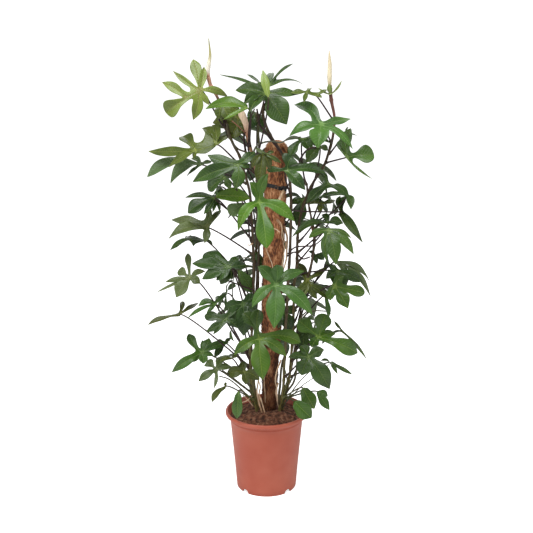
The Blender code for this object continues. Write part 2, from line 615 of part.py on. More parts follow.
# ---------------------------------------------------------------- pot and soil
def build_pot():
    """A thin-walled tapered pot with a rolled rim, a raised floor and a notched foot."""
    terracotta = material("pot_plastic", TERRACOTTA, 0.45)
    top = POT_HEIGHT
    profile = [
        (0.0, FLOOR_HEIGHT), (POT_FOOT_RADIUS - 0.0035, FLOOR_HEIGHT),
        (POT_FOOT_RADIUS - 0.0030, 0.0), (POT_FOOT_RADIUS, 0.0),
        (POT_TOP_RADIUS, top - 0.020), (POT_TOP_RADIUS + 0.0025, top - 0.0185),
        (POT_TOP_RADIUS + 0.0027, top - 0.0130), (RIM_RADIUS - 0.0020, top - 0.0120),
        (RIM_RADIUS, top - 0.0090), (RIM_RADIUS, top - 0.0040),
        (RIM_RADIUS - 0.0025, top - 0.0008), (RIM_RADIUS - 0.0050, top),
        (RIM_RADIUS - 0.0075, top - 0.0025), (POT_TOP_RADIUS - WALL, top - 0.0200),
        (POT_FOOT_RADIUS - WALL + 0.0012, FLOOR_HEIGHT + WALL), (0.0, FLOOR_HEIGHT + WALL)]
    pot = add_object("pot", turned("pot", profile, POT_SIDES), terracotta)
    for quarter in range(4):
        turn = math.radians(45 + 90 * quarter)
        cutter = bmesh.new()
        bmesh.ops.create_cone(cutter, segments=12, cap_ends=True, radius1=NOTCH_RADIUS,
                              radius2=NOTCH_RADIUS, depth=0.030,
                              matrix=Matrix.Rotation(math.radians(90), 4, "Y"))
        arch = mesh_from(cutter, "arch")
        arch.transform(Matrix.Rotation(turn, 4, "Z") @ Matrix.Translation((0.092, 0.0, 0.0)))
        combine(pot, arch, "DIFFERENCE")
    return pot


def wall_inside(height):
    """Inside radius of the pot's wall."""
    low, high = FLOOR_HEIGHT + WALL, POT_HEIGHT - 0.020
    narrow, wide = POT_FOOT_RADIUS - WALL + 0.0012, POT_TOP_RADIUS - WALL
    return narrow + (wide - narrow) * (height - low) / (high - low)


def build_soil():
    """Potting mix, mounded round the pole, with a snug hole for each thing planted."""
    peat = material("peat", PEAT, 1.0)
    bottom = FLOOR_HEIGHT + WALL + GAP
    profile = [(0.0, bottom), (wall_inside(bottom) - 2 * GAP, bottom),
               (wall_inside(SOIL_EDGE - 0.010) - 3 * GAP, SOIL_EDGE - 0.010),
               (wall_inside(SOIL_EDGE - 0.004) - 3 * GAP, SOIL_EDGE - 0.001),
               (0.086, SOIL_EDGE + 0.006), (0.066, SOIL_CROWN - 0.006),
               (0.042, SOIL_CROWN), (0.0, SOIL_CROWN)]
    soil = add_object("soil", turned("soil", profile, POT_SIDES), peat)
    lean = Matrix.Shear("XY", 4, (POLE_LEAN, 0.0))
    socket = turned("socket", [
        (0.0, STAKE_BOTTOM - GAP), (STAKE_RADIUS + GAP, STAKE_BOTTOM - GAP),
        (STAKE_RADIUS + GAP, POLE_BOTTOM - GAP), (pole_radius(0.12) + 2 * GAP, POLE_BOTTOM - GAP),
        (pole_radius(0.30) + 2 * GAP, 0.300), (0.0, 0.300)], POLE_SIDES)
    socket.transform(lean)
    combine(soil, socket, "DIFFERENCE")
    for name, (foot, _, _) in VINES.items():
        route = [point for point in vine_route(name) if point.z < 0.330]
        route.insert(0, route[0] + (route[0] - route[1]).normalized() * GAP)
        radii = [foot + 1.5 * GAP] * len(route)
        combine(soil, tube_mesh("hole", route, radii, VINE_SIDES), "DIFFERENCE")


def clear_scene():
    for thing in list(bpy.data.objects):
        bpy.data.objects.remove(thing)


clear_scene()
build_pot()
build_soil()
build_pole()
build_tie()
build_vines()
build_sheaths()
build_roots()
build_leaves()
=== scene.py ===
"""A potted climbing philodendron on a coir pole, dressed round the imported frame.

Metres, +Z up. The frame's own values give the pot's axis, and every piece below is
modelled about that axis and then set in place, in the order in which the plant is potted.
"""
import math
import random

import bmesh
import bpy
from mathutils import Matrix, Vector, noise


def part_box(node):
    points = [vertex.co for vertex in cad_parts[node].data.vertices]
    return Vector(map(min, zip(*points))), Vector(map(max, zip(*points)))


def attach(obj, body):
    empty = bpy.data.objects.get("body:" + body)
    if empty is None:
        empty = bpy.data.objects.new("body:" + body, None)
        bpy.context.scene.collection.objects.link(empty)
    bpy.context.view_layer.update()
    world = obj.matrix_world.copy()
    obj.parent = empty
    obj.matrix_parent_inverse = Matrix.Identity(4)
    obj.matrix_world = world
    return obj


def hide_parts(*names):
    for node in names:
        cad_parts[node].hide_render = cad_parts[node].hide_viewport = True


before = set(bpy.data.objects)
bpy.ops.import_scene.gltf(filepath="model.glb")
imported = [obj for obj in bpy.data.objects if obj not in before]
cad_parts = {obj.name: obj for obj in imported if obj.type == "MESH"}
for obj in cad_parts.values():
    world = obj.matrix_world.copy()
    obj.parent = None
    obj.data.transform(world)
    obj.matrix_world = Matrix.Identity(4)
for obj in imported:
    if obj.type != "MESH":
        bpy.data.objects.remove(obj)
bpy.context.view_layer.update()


# ---------------------------------------------------------------- nursery pot
# A thin thermoformed pot of satin terracotta-coloured plastic: rolled rim, a collar with
# two fine steps under it, a straight taper, and a foot ring with four drainage arches.
pot_low, pot_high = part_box("pot")
POT_AXIS = Vector(((pot_low[0] + pot_high[0]) / 2, (pot_low[1] + pot_high[1]) / 2, 0.0))
POT_HEIGHT = pot_high[2]
RIM_RADIUS = (pot_high[0] - pot_low[0]) / 2
POT_TOP_RADIUS = 0.108
POT_FOOT_RADIUS = 0.089
WALL = 0.0022
FLOOR_HEIGHT = 0.012
NOTCH_RADIUS = 0.011
POT_SIDES = 192
TERRACOTTA = (0.452, 0.088, 0.046)
TERRACOTTA_WORN = (0.53, 0.134, 0.078)
SOIL_AND_PAINTED_SHADE = (0.26, 0.30, 0.30)      # what the colour keeps on the inner wall: partly soil stains, partly painted shade under the rim


def keep_mesh(name, build):
    """Turn a finished bmesh into a mesh."""
    mesh = bpy.data.meshes.new(name)
    build.to_mesh(mesh)
    build.free()
    return mesh


def place(name, build, finishes, smooth=True):
    """Turn a finished bmesh, modelled about the pot's axis, into a piece in its place."""
    mesh = keep_mesh(name, build)
    mesh.transform(Matrix.Translation(POT_AXIS))
    for finish in finishes:
        mesh.materials.append(finish)
    if smooth:
        mesh.shade_smooth()
    piece = bpy.data.objects.new(name, mesh)
    bpy.context.scene.collection.objects.link(piece)
    return piece


def grow_from(piece, node):
    """Say which body a piece rides on and which solid it stands for."""
    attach(piece, "root")
    if node:
        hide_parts(node)


def new_finish(name, roughness):
    """A material, its node tree and its shader."""
    finish = bpy.data.materials.new(name)
    finish.use_nodes = True
    shader = finish.node_tree.nodes["Principled BSDF"]
    shader.inputs["Roughness"].default_value = roughness
    return finish, finish.node_tree, shader


def add_node(tree, kind, inputs, **settings):
    """Add a shader node. An input is given by its name or number, as a value or a socket."""
    node = tree.nodes.new("ShaderNode" + kind)
    for name, setting in settings.items():
        setattr(node, name, setting)
    for name, value in inputs.items():
        if isinstance(value, bpy.types.NodeSocket):
            tree.links.new(value, node.inputs[name])
        else:
            node.inputs[name].default_value = value
    return node


def grain(tree, scale, detail=4.0, stretch=(1.0, 1.0, 1.0)):
    """Noise on object coordinates, stretched by a scale for each axis."""
    where = add_node(tree, "TexCoord", {}).outputs["Object"]
    turn = add_node(tree, "Mapping", {"Scale": stretch, "Vector": where}).outputs["Vector"]
    return add_node(tree, "TexNoise", {"Scale": scale, "Detail": detail, "Vector": turn}).outputs["Fac"]


def steps_of_colour(tree, value, stops):
    """A colour ramp: stops of (position, colour)."""
    ramp = add_node(tree, "ValToRGB", {"Fac": value})
    elements = ramp.color_ramp.elements
    while len(elements) < len(stops):
        elements.new(0.5)
    for element, (position, colour) in zip(elements, stops):
        element.position = position
        element.color = (*colour, 1.0)
    return ramp.outputs["Color"]


def kept_value(tree, layer):
    """What a mesh keeps in one of its layers."""
    return add_node(tree, "Attribute", {}, attribute_name=layer)


def calculate(tree, operation, *values):
    """One step of arithmetic on values or sockets."""
    return add_node(tree, "Math", dict(enumerate(values)), operation=operation).outputs["Value"]


def spread(tree, value, low, high, start=0.0, finish=1.0):
    """A value that runs from start to finish while another runs from low to high."""
    node = add_node(tree, "MapRange", {"Value": value, "From Min": low, "From Max": high,
                                       "To Min": start, "To Max": finish})
    return node.outputs["Result"]


def multiply(tree, share, first, second):
    """One colour darkened by another, by a share."""
    mix = add_node(tree, "Mix", {"Factor": share, "A": first, "B": second},
                   data_type="RGBA", blend_type="MULTIPLY")
    return mix.outputs["Result"]


def coat(tree, shader, colour, height, depth, strength=1.0):
    """Give a shader its colour, and a height that ruffles its surface."""
    bump = add_node(tree, "Bump", {"Height": height, "Distance": depth, "Strength": strength})
    tree.links.new(colour, shader.inputs["Base Color"])
    tree.links.new(bump.outputs["Normal"], shader.inputs["Normal"])


def pot_plastic():
    finish, tree, shader = new_finish("pot_plastic", 0.42)
    cloudy = grain(tree, 9.0, 3.0)
    colour = steps_of_colour(tree, cloudy, [(0.35, TERRACOTTA), (0.75, TERRACOTTA_WORN)])
    # The inner wall above the mix is darkened: partly soil stains, partly painted shade that deepens under
    # the rim.
    colour = multiply(tree, kept_value(tree, "soil_and_painted_shade").outputs["Fac"], colour, (*SOIL_AND_PAINTED_SHADE, 1.0))
    coat(tree, shader, colour, grain(tree, 900.0, 2.0), 0.0002, 0.25)
    return finish


def turn_section(section, steps, closed=False):
    """A bmesh of a section, given as radii and heights, turned about +Z."""
    build = bmesh.new()
    points = [build.verts.new((radius, 0.0, height)) for radius, height in section]
    ends = points[1:] + points[:1] if closed else points[1:]
    edges = [build.edges.new(pair) for pair in zip(points, ends)]
    bmesh.ops.spin(build, geom=points + edges, cent=(0, 0, 0), axis=(0, 0, 1),
                   angle=2 * math.pi, steps=steps, use_merge=True)
    bmesh.ops.remove_doubles(build, verts=build.verts, dist=1e-6)
    return build


def notch_height(x, y):
    """How far a drainage arch lifts the foot's lower edge at a place."""
    heading = math.degrees(math.atan2(y, x)) % 90.0 - 45.0
    away = math.radians(heading) * POT_FOOT_RADIUS
    if abs(away) >= NOTCH_RADIUS:
        return 0.0
    return math.sqrt(NOTCH_RADIUS ** 2 - away ** 2)


def build_pot():
    top = POT_HEIGHT
    rim, neck, foot = RIM_RADIUS, POT_TOP_RADIUS, POT_FOOT_RADIUS
    section = [
        (0.0, FLOOR_HEIGHT), (foot - 0.012, FLOOR_HEIGHT), (foot - 0.0045, FLOOR_HEIGHT),
        (foot - 0.0034, FLOOR_HEIGHT - 0.001), (foot - 0.0030, 0.0006), (foot - 0.0026, 0.0),
        (foot - 0.0004, 0.0), (foot, 0.0006), (foot + 0.0008, 0.0100), (foot + 0.0013, 0.0125),
        (foot + 0.0010, 0.0140), (foot + 0.0060, 0.0760), (neck - 0.0015, top - 0.0400),
        (neck - 0.0004, top - 0.0272), (neck + 0.0006, top - 0.0262), (neck + 0.0007, top - 0.0235),
        (neck, top - 0.0225), (neck + 0.0001, top - 0.0202), (neck + 0.0020, top - 0.0192),
        (neck + 0.0026, top - 0.0170), (neck + 0.0027, top - 0.0142), (neck + 0.0040, top - 0.0128),
        (rim - 0.0030, top - 0.0122), (rim - 0.0012, top - 0.0112), (rim - 0.0002, top - 0.0090),
        (rim, top - 0.0065), (rim - 0.0003, top - 0.0040), (rim - 0.0013, top - 0.0017),
        (rim - 0.0031, top - 0.0004), (rim - 0.0050, top), (rim - 0.0064, top - 0.0006),
        (rim - 0.0075, top - 0.0025), (rim - 0.0095, top - 0.0075), (neck - WALL + 0.0012, top - 0.0170),
        (neck - WALL, top - 0.0200), (foot - WALL + 0.0012, FLOOR_HEIGHT + WALL),
        (0.0, FLOOR_HEIGHT + WALL)]
    build = turn_section(section, POT_SIDES)
    for point in build.verts:
        near_foot = math.hypot(point.co.x, point.co.y) > foot - 0.0040
        if point.co.z < 0.011 and near_foot:
            arch = notch_height(point.co.x, point.co.y)
            point.co.z = max(point.co.z, arch)
    # Soil stains and painted shade on the inner wall: none 6 mm under the rim top, full 16 mm under it.
    soil_and_painted_shade = build.verts.layers.float.new("soil_and_painted_shade")
    for point in build.verts:
        inside = math.hypot(point.co.x, point.co.y) < neck + (point.co.z - top) * 0.1
        depth = top - 0.006 - point.co.z
        if inside and point.co.z > 2 * FLOOR_HEIGHT:
            point[soil_and_painted_shade] = min(1.0, max(0.0, depth / 0.010))
    bmesh.ops.recalc_face_normals(build, faces=build.faces)
    pot = place("nursery_pot", build, [pot_plastic()])
    pot.data.set_sharp_from_angle(angle=math.radians(50))
    grow_from(pot, "pot")


build_pot()


# ---------------------------------------------------------------- potting mix
# Moist peat with bark, coir and root fibres, filled to a thumb's width under the rim and
# mounded up round the pole.
SOIL_EDGE = 0.224
SOIL_CROWN = 0.246
SOIL_RADIUS = 0.1045
SOIL_RINGS = 34
SOIL_SIDES = 120
SKIRT_DEPTH = 0.030              # how far its edge reaches down the pot's wall
PEAT_DARK = (0.052, 0.020, 0.011)
PEAT = (0.178, 0.068, 0.036)
PEAT_PALE = (0.360, 0.176, 0.098)
CRUMBS = 900
CHIPS = 130
STRAWS = 150
CRUMB_SIZES = (0.0008, 0.0032)   # least and greatest
CHIP_LENGTHS = (0.0035, 0.0095)
CHIP_THICKNESS = 0.0016
STRAW_LENGTHS = (0.006, 0.020)
STRAW_RADII = (0.0003, 0.0005, 0.0005, 0.0004, 0.0002)


def soil_height(x, y):
    """Height of the mix: a mound with lumps."""
    radius = math.hypot(x, y)
    share = min(1.0, max(0.0, (radius - 0.040) / (SOIL_RADIUS - 0.040)))
    rise = (SOIL_CROWN - SOIL_EDGE) * (0.5 + 0.5 * math.cos(math.pi * share))
    lumps = noise.fractal(Vector((x, y, 0.3)) * 55.0, 0.9, 2.1, 4) * 0.0022
    return SOIL_EDGE + rise + lumps


def potting_mix(name, dark, middle, pale):
    finish, tree, shader = new_finish(name, 0.95)
    crumbly = grain(tree, 90.0, 8.0)
    colour = steps_of_colour(tree, crumbly, [(0.36, dark), (0.52, middle), (0.72, pale)])
    coat(tree, shader, colour, grain(tree, 420.0, 6.0), 0.0015, 0.9)
    return finish


def scatter(chance, reach):
    """A place on the mix, clear of the pole, and the height of the mix there."""
    radius = math.sqrt(chance.uniform(0.10, 1.0)) * reach
    turn = chance.uniform(0.0, 2 * math.pi)
    x, y = radius * math.cos(turn), radius * math.sin(turn)
    return Vector((x, y, soil_height(x, y)))


def add_copy(build, mesh):
    """Add a copy of a small mesh to a bmesh, and return the copy's points."""
    before = len(build.verts)
    build.from_mesh(mesh)
    build.verts.ensure_lookup_table()
    return build.verts[before:]


def lie_at(spot, heading, tilt):
    """The matrix that turns and tilts a bit of the mix and lays it at a spot."""
    turn = Matrix.Rotation(heading, 4, "Z")
    return Matrix.Translation(spot) @ turn @ Matrix.Rotation(tilt, 4, "X")


def extrude_edges(build, edges):
    """Extrude edges, and return the new points and the new edges that join them."""
    grown = bmesh.ops.extrude_edge_only(build, edges=edges)["geom"]
    points = [part for part in grown if isinstance(part, bmesh.types.BMVert)]
    onward = [part for part in grown if isinstance(part, bmesh.types.BMEdge)
              and set(part.verts) <= set(points)]
    return points, onward


def grow_tube(build, route, radii, sides, along=None):
    """Extrude a ring of points along a route. along is a layer that keeps the share of
    the way, from 0 at the foot to 1 at the end."""
    across = (route[1] - route[0]).orthogonal().normalized()
    ring = bmesh.ops.create_circle(build, cap_ends=False, radius=1.0, segments=sides)["verts"]
    edges = list(dict.fromkeys(edge for point in ring for edge in point.link_edges))
    first_edges, last_frame = edges, Matrix.Identity(4)
    for index, point in enumerate(route):
        ahead = route[min(index + 1, len(route) - 1)]
        behind = route[max(index - 1, 0)]
        onward = (ahead - behind).normalized()
        across = (across - onward * across.dot(onward)).normalized()
        other = onward.cross(across)
        size = radii[index]
        if index:
            ring, edges = extrude_edges(build, edges)
        turned = Matrix((across, other, onward)).transposed().to_4x4()
        new_frame = Matrix.Translation(point) @ turned @ Matrix.Scale(size, 4)
        bmesh.ops.transform(build, matrix=new_frame @ last_frame.inverted(), verts=ring)
        last_frame = new_frame
        if along is not None:
            for corner in ring:
                corner[along] = index / (len(route) - 1)
    bmesh.ops.contextual_create(build, geom=first_edges)
    bmesh.ops.contextual_create(build, geom=edges)


def build_soil_bed(peat):
    """The mix itself: a lumpy mound with a skirt down the pot's wall, closed below."""
    build = turn_section([(SOIL_RADIUS * step / SOIL_RINGS, 0.0) for step in range(SOIL_RINGS + 1)],
                         SOIL_SIDES)
    for point in build.verts:
        point.co.z = soil_height(point.co.x, point.co.y)
    rim = [edge for edge in build.edges if edge.is_boundary]
    skirt, lower = extrude_edges(build, rim)
    for point in skirt:
        point.co.x, point.co.y = point.co.x * 0.94, point.co.y * 0.94
        point.co.z = SOIL_EDGE - SKIRT_DEPTH
    bmesh.ops.contextual_create(build, geom=lower)
    bmesh.ops.recalc_face_normals(build, faces=build.faces)
    grow_from(place("soil_bed", build, [peat]), "soil")


def build_crumbs(peat, chance):
    crumb = bmesh.new()
    bmesh.ops.create_icosphere(crumb, subdivisions=1, radius=1.0)
    for point in crumb.verts:
        point.co *= 1.0 + 0.30 * noise.noise(point.co * 1.7)
    crumb_mesh = keep_mesh("crumb", crumb)
    crumbs = bmesh.new()
    for _ in range(CRUMBS):
        size = chance.uniform(*CRUMB_SIZES)
        spot = scatter(chance, SOIL_RADIUS - 0.004)
        turned = lie_at(spot, chance.uniform(0, 6.28), chance.uniform(0, 3))
        shape = Matrix.Diagonal((size, size * chance.uniform(0.6, 1.0), size * 0.7, 1.0))
        bmesh.ops.transform(crumbs, matrix=turned @ shape, verts=add_copy(crumbs, crumb_mesh))
    grow_from(place("soil_crumbs", crumbs, [peat]), None)
    bpy.data.meshes.remove(crumb_mesh)


def build_bark(chance):
    bark = potting_mix("bark_chips", (0.10, 0.045, 0.025), (0.21, 0.10, 0.055), (0.34, 0.19, 0.11))
    chips = bmesh.new()
    for _ in range(CHIPS):
        length = chance.uniform(*CHIP_LENGTHS)
        spot = scatter(chance, SOIL_RADIUS - 0.007)
        turned = lie_at(spot, chance.uniform(0, 6.28), chance.uniform(-0.4, 0.4))
        shape = Matrix.Diagonal((length, length * chance.uniform(0.35, 0.7), CHIP_THICKNESS, 1.0))
        for corner in bmesh.ops.create_cube(chips, size=1.0, matrix=turned @ shape)["verts"]:
            corner.co += Vector((chance.uniform(-1, 1), chance.uniform(-1, 1), 0.0)) * 0.0007
    bmesh.ops.bevel(chips, geom=list(chips.edges), offset=0.00025, segments=1, profile=0.5,
                    affect="EDGES", material=-1)
    grow_from(place("soil_bark", chips, [bark], smooth=False), None)


def build_straws(chance):
    straw = potting_mix("root_straws", (0.20, 0.10, 0.06), (0.34, 0.20, 0.12), (0.50, 0.34, 0.22))
    straws = bmesh.new()
    for _ in range(STRAWS):
        spot = scatter(chance, SOIL_RADIUS - 0.010)
        length = chance.uniform(*STRAW_LENGTHS)
        turn = chance.uniform(0, 2 * math.pi)
        curl = chance.uniform(-0.6, 0.6)
        route = []
        for step in range(len(STRAW_RADII)):
            share = step / (len(STRAW_RADII) - 1) - 0.5
            heading = turn + curl * share
            x = spot.x + math.cos(heading) * length * share
            y = spot.y + math.sin(heading) * length * share
            route.append(Vector((x, y, soil_height(x, y) + 0.0006)))
        grow_tube(straws, route, STRAW_RADII, 4)
    grow_from(place("soil_straws", straws, [straw]), None)


def build_soil():
    peat = potting_mix("potting_mix", PEAT_DARK, PEAT, PEAT_PALE)
    chance = random.Random(11)
    build_soil_bed(peat)
    build_crumbs(peat, chance)
    build_bark(chance)
    build_straws(chance)


build_soil()


# ---------------------------------------------------------------- stake
# The square-cut timber core that the coir is wrapped on. It shows only if the pole is
# taken apart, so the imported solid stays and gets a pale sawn-pine finish.
def sawn_pine():
    finish, tree, shader = new_finish("sawn_pine", 0.8)
    rings = grain(tree, 60.0, 5.0, (1.0, 1.0, 0.06))
    colour = steps_of_colour(tree, rings, [(0.38, (0.36, 0.21, 0.10)), (0.66, (0.56, 0.38, 0.21))])
    coat(tree, shader, colour, rings, 0.0004, 0.5)
    return finish


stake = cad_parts["pole_stake"]
stake.data.materials.clear()
stake.data.materials.append(sawn_pine())


# ---------------------------------------------------------------- coir pole
# A stake wrapped in coconut fibre: a felted sleeve, orange-brown with dark patches and
# darker where it is moist near the mix, under loose strands that lie every way.
POLE_LEAN = 0.0268
POLE_TOP = 1.050
POLE_PROFILE = [(0.120, 0.0200), (0.290, 0.0210), (0.370, 0.0245), (0.460, 0.0280),
                (0.620, 0.0295), (0.780, 0.0300), (0.950, 0.0315), (1.020, 0.0318),
                (1.034, 0.0285), (1.044, 0.0200), (1.048, 0.0100)]
POLE_SIDES = 72
POLE_RISE = 0.006                # height between rings of the sleeve
SHAG = 0.0016                    # depth of its lumps
STRANDS = 1500
TOP_STRANDS = 160
STRAND_LENGTHS = (0.012, 0.036)  # least and greatest
STRAND_RADII = (0.00022, 0.00050)
STRAND_BOWS = (0.0004, 0.0032)   # how far the middle of a strand stands off the sleeve
STRAND_SHAPE = (0.4, 0.8, 1.0, 1.0, 1.0, 0.8, 0.3)
COIR_DARK = (0.085, 0.029, 0.012)
COIR = (0.380, 0.140, 0.052)
COIR_PALE = (0.780, 0.430, 0.220)
COIR_MOIST = (0.36, 0.30, 0.26)
MOIST_UP_TO = 0.25
DRY_FROM = 0.62


def pole_axis(height):
    return Vector((POLE_LEAN * height, 0.0, height))


def pole_radius(height):
    for (low, thin), (high, thick) in zip(POLE_PROFILE, POLE_PROFILE[1:]):
        if height <= high:
            return thin + (thick - thin) * max(0.0, height - low) / (high - low)
    return POLE_PROFILE[-1][1]


def on_pole(heading, height, lift):
    """A point on the coir: heading in degrees from +X, lift out from its surface."""
    turn = math.radians(heading)
    outward = Vector((math.cos(turn), math.sin(turn), 0.0))
    return pole_axis(height) + outward * (pole_radius(height) + lift)


def coir_finish():
    finish, tree, shader = new_finish("coir", 0.92)
    patches = grain(tree, 34.0, 5.0, (1.0, 1.0, 0.6))
    fibres = grain(tree, 260.0, 6.0, (1.0, 1.0, 0.35))
    half = calculate(tree, "MULTIPLY", calculate(tree, "ADD", patches, fibres), 0.5)
    dry = steps_of_colour(tree, half, [(0.40, COIR_DARK), (0.50, COIR), (0.62, COIR_PALE)])
    where = add_node(tree, "TexCoord", {}).outputs["Object"]
    height = add_node(tree, "SeparateXYZ", {"Vector": where}).outputs["Z"]
    moist = spread(tree, height, MOIST_UP_TO, DRY_FROM, 1.0, 0.0)
    damp = multiply(tree, moist, dry, (*COIR_MOIST, 1.0))
    coat(tree, shader, damp, fibres, 0.0022)
    return finish


def build_sleeve(coir):
    """The felted sleeve: rings up the pole, closed over its top, and made lumpy."""
    heights = []
    height = 0.205
    while height < 1.020:
        heights.append(height)
        height += POLE_RISE
    heights += [1.022, 1.028, 1.034, 1.039, 1.043, 1.046, 1.048]
    side = [(pole_radius(height), height) for height in heights]
    build = turn_section([(0.0, heights[0])] + side + [(0.0, POLE_TOP - 0.0005)], POLE_SIDES)
    for point in build.verts:
        outward = Vector((point.co.x, point.co.y, 0.0))
        if outward.length > 1e-6:
            lumps = noise.fractal(point.co * 70.0, 0.8, 2.2, 4)
            point.co += outward.normalized() * SHAG * (lumps - 0.1)
        point.co.x += POLE_LEAN * point.co.z
    bmesh.ops.recalc_face_normals(build, faces=build.faces)
    grow_from(place("coir_sleeve", build, [coir]), "coir_pole")


def build_strands(coir):
    """Loose fibres bowed over the sleeve, each a copy of one small tube."""
    strand = bmesh.new()
    last = len(STRAND_SHAPE) - 1
    grow_tube(strand, [Vector((0, 0, step / last - 0.5)) for step in range(last + 1)],
              STRAND_SHAPE, 3)
    strand_mesh = keep_mesh("strand", strand)
    chance = random.Random(23)
    strands = bmesh.new()
    for number in range(STRANDS + TOP_STRANDS):
        over_top = number >= STRANDS
        heading = chance.uniform(0, 360)
        middle = chance.uniform(0.985, 1.040) if over_top else chance.uniform(0.235, 1.030)
        length = chance.uniform(*STRAND_LENGTHS)
        slant = math.radians(chance.choice((-1, 1)) * chance.uniform(5, 80))
        thick = chance.uniform(*STRAND_RADII)
        bow = chance.uniform(*STRAND_BOWS)
        for point in add_copy(strands, strand_mesh):
            away = point.co.z * length
            height = min(middle + away * math.cos(slant), POLE_TOP - 0.004)
            radius = max(pole_radius(height), 0.010)
            turn = heading + math.degrees((away * math.sin(slant) + point.co.x * thick) / radius)
            lift = bow * (1 - 4 * point.co.z ** 2) + point.co.y * thick + 0.0002
            point.co = on_pole(turn, height, lift)
    grow_from(place("coir_strands", strands, [coir]), None)
    bpy.data.meshes.remove(strand_mesh)


def build_pole():
    coir = coir_finish()
    build_sleeve(coir)
    build_strands(coir)


build_pole()


# ---------------------------------------------------------------- tie
# A black plastic tie drawn flat round the coir a hand's breadth under its top, with a
# knot at the right front and a short tail.
TIE_HEIGHT = 0.922
TIE_WIDTH = 0.0110
TIE_THICKNESS = 0.0018
TIE_SIDES = 64
TIE_SAG = 0.18                   # how far it drops towards the knot, per metre across


def tie_plastic():
    finish, tree, shader = new_finish("tie_plastic", 0.5)
    creases = grain(tree, 300.0, 3.0, (1.0, 1.0, 3.0))
    colour = steps_of_colour(tree, creases, [(0.3, (0.006, 0.006, 0.007)), (0.8, (0.030, 0.030, 0.032))])
    coat(tree, shader, colour, creases, 0.0006, 0.8)
    return finish


def build_tie():
    """The band, turned round the pole, with two knot loops and a tail grown as tubes."""
    black = tie_plastic()
    low, high = TIE_HEIGHT - TIE_WIDTH / 2, TIE_HEIGHT + TIE_WIDTH / 2
    inner = pole_radius(TIE_HEIGHT) + 0.0004
    outer = inner + TIE_THICKNESS
    crease = inner + TIE_THICKNESS * 0.6
    build = turn_section([(inner, low), (outer, low + 0.0008), (outer, TIE_HEIGHT - 0.0010),
                          (crease, TIE_HEIGHT), (outer, TIE_HEIGHT + 0.0010), (outer, high - 0.0008),
                          (inner, high)], TIE_SIDES, closed=True)
    for point in build.verts:
        heading = math.atan2(point.co.y, point.co.x)
        point.co.z += 0.0016 * math.sin(heading * 3 + 1.0) - TIE_SAG * point.co.x
        point.co.x += POLE_LEAN * point.co.z
    knot_height = TIE_HEIGHT - TIE_SAG * 0.026
    knot = [on_pole(heading, knot_height + rise, lift) for heading, rise, lift in (
        (-68, 0.002, 0.003), (-58, 0.006, 0.007), (-46, 0.003, 0.010), (-41, -0.005, 0.007),
        (-52, -0.006, 0.006), (-58, 0.000, 0.009), (-46, 0.004, 0.011), (-35, 0.000, 0.007))]
    grow_tube(build, knot, [0.0022, 0.0030, 0.0034, 0.0032, 0.0030, 0.0030, 0.0030, 0.0022], 8)
    tail = [on_pole(-32, knot_height, 0.005), on_pole(-26, knot_height - 0.001, 0.0085),
            on_pole(-20, knot_height - 0.003, 0.0130), on_pole(-15, knot_height - 0.007, 0.0160)]
    grow_tube(build, tail, [0.0026, 0.0030, 0.0026, 0.0014], 8)
    bmesh.ops.recalc_face_normals(build, faces=build.faces)
    grow_from(place("tie_band", build, [black]), "pole_tie")


build_tie()


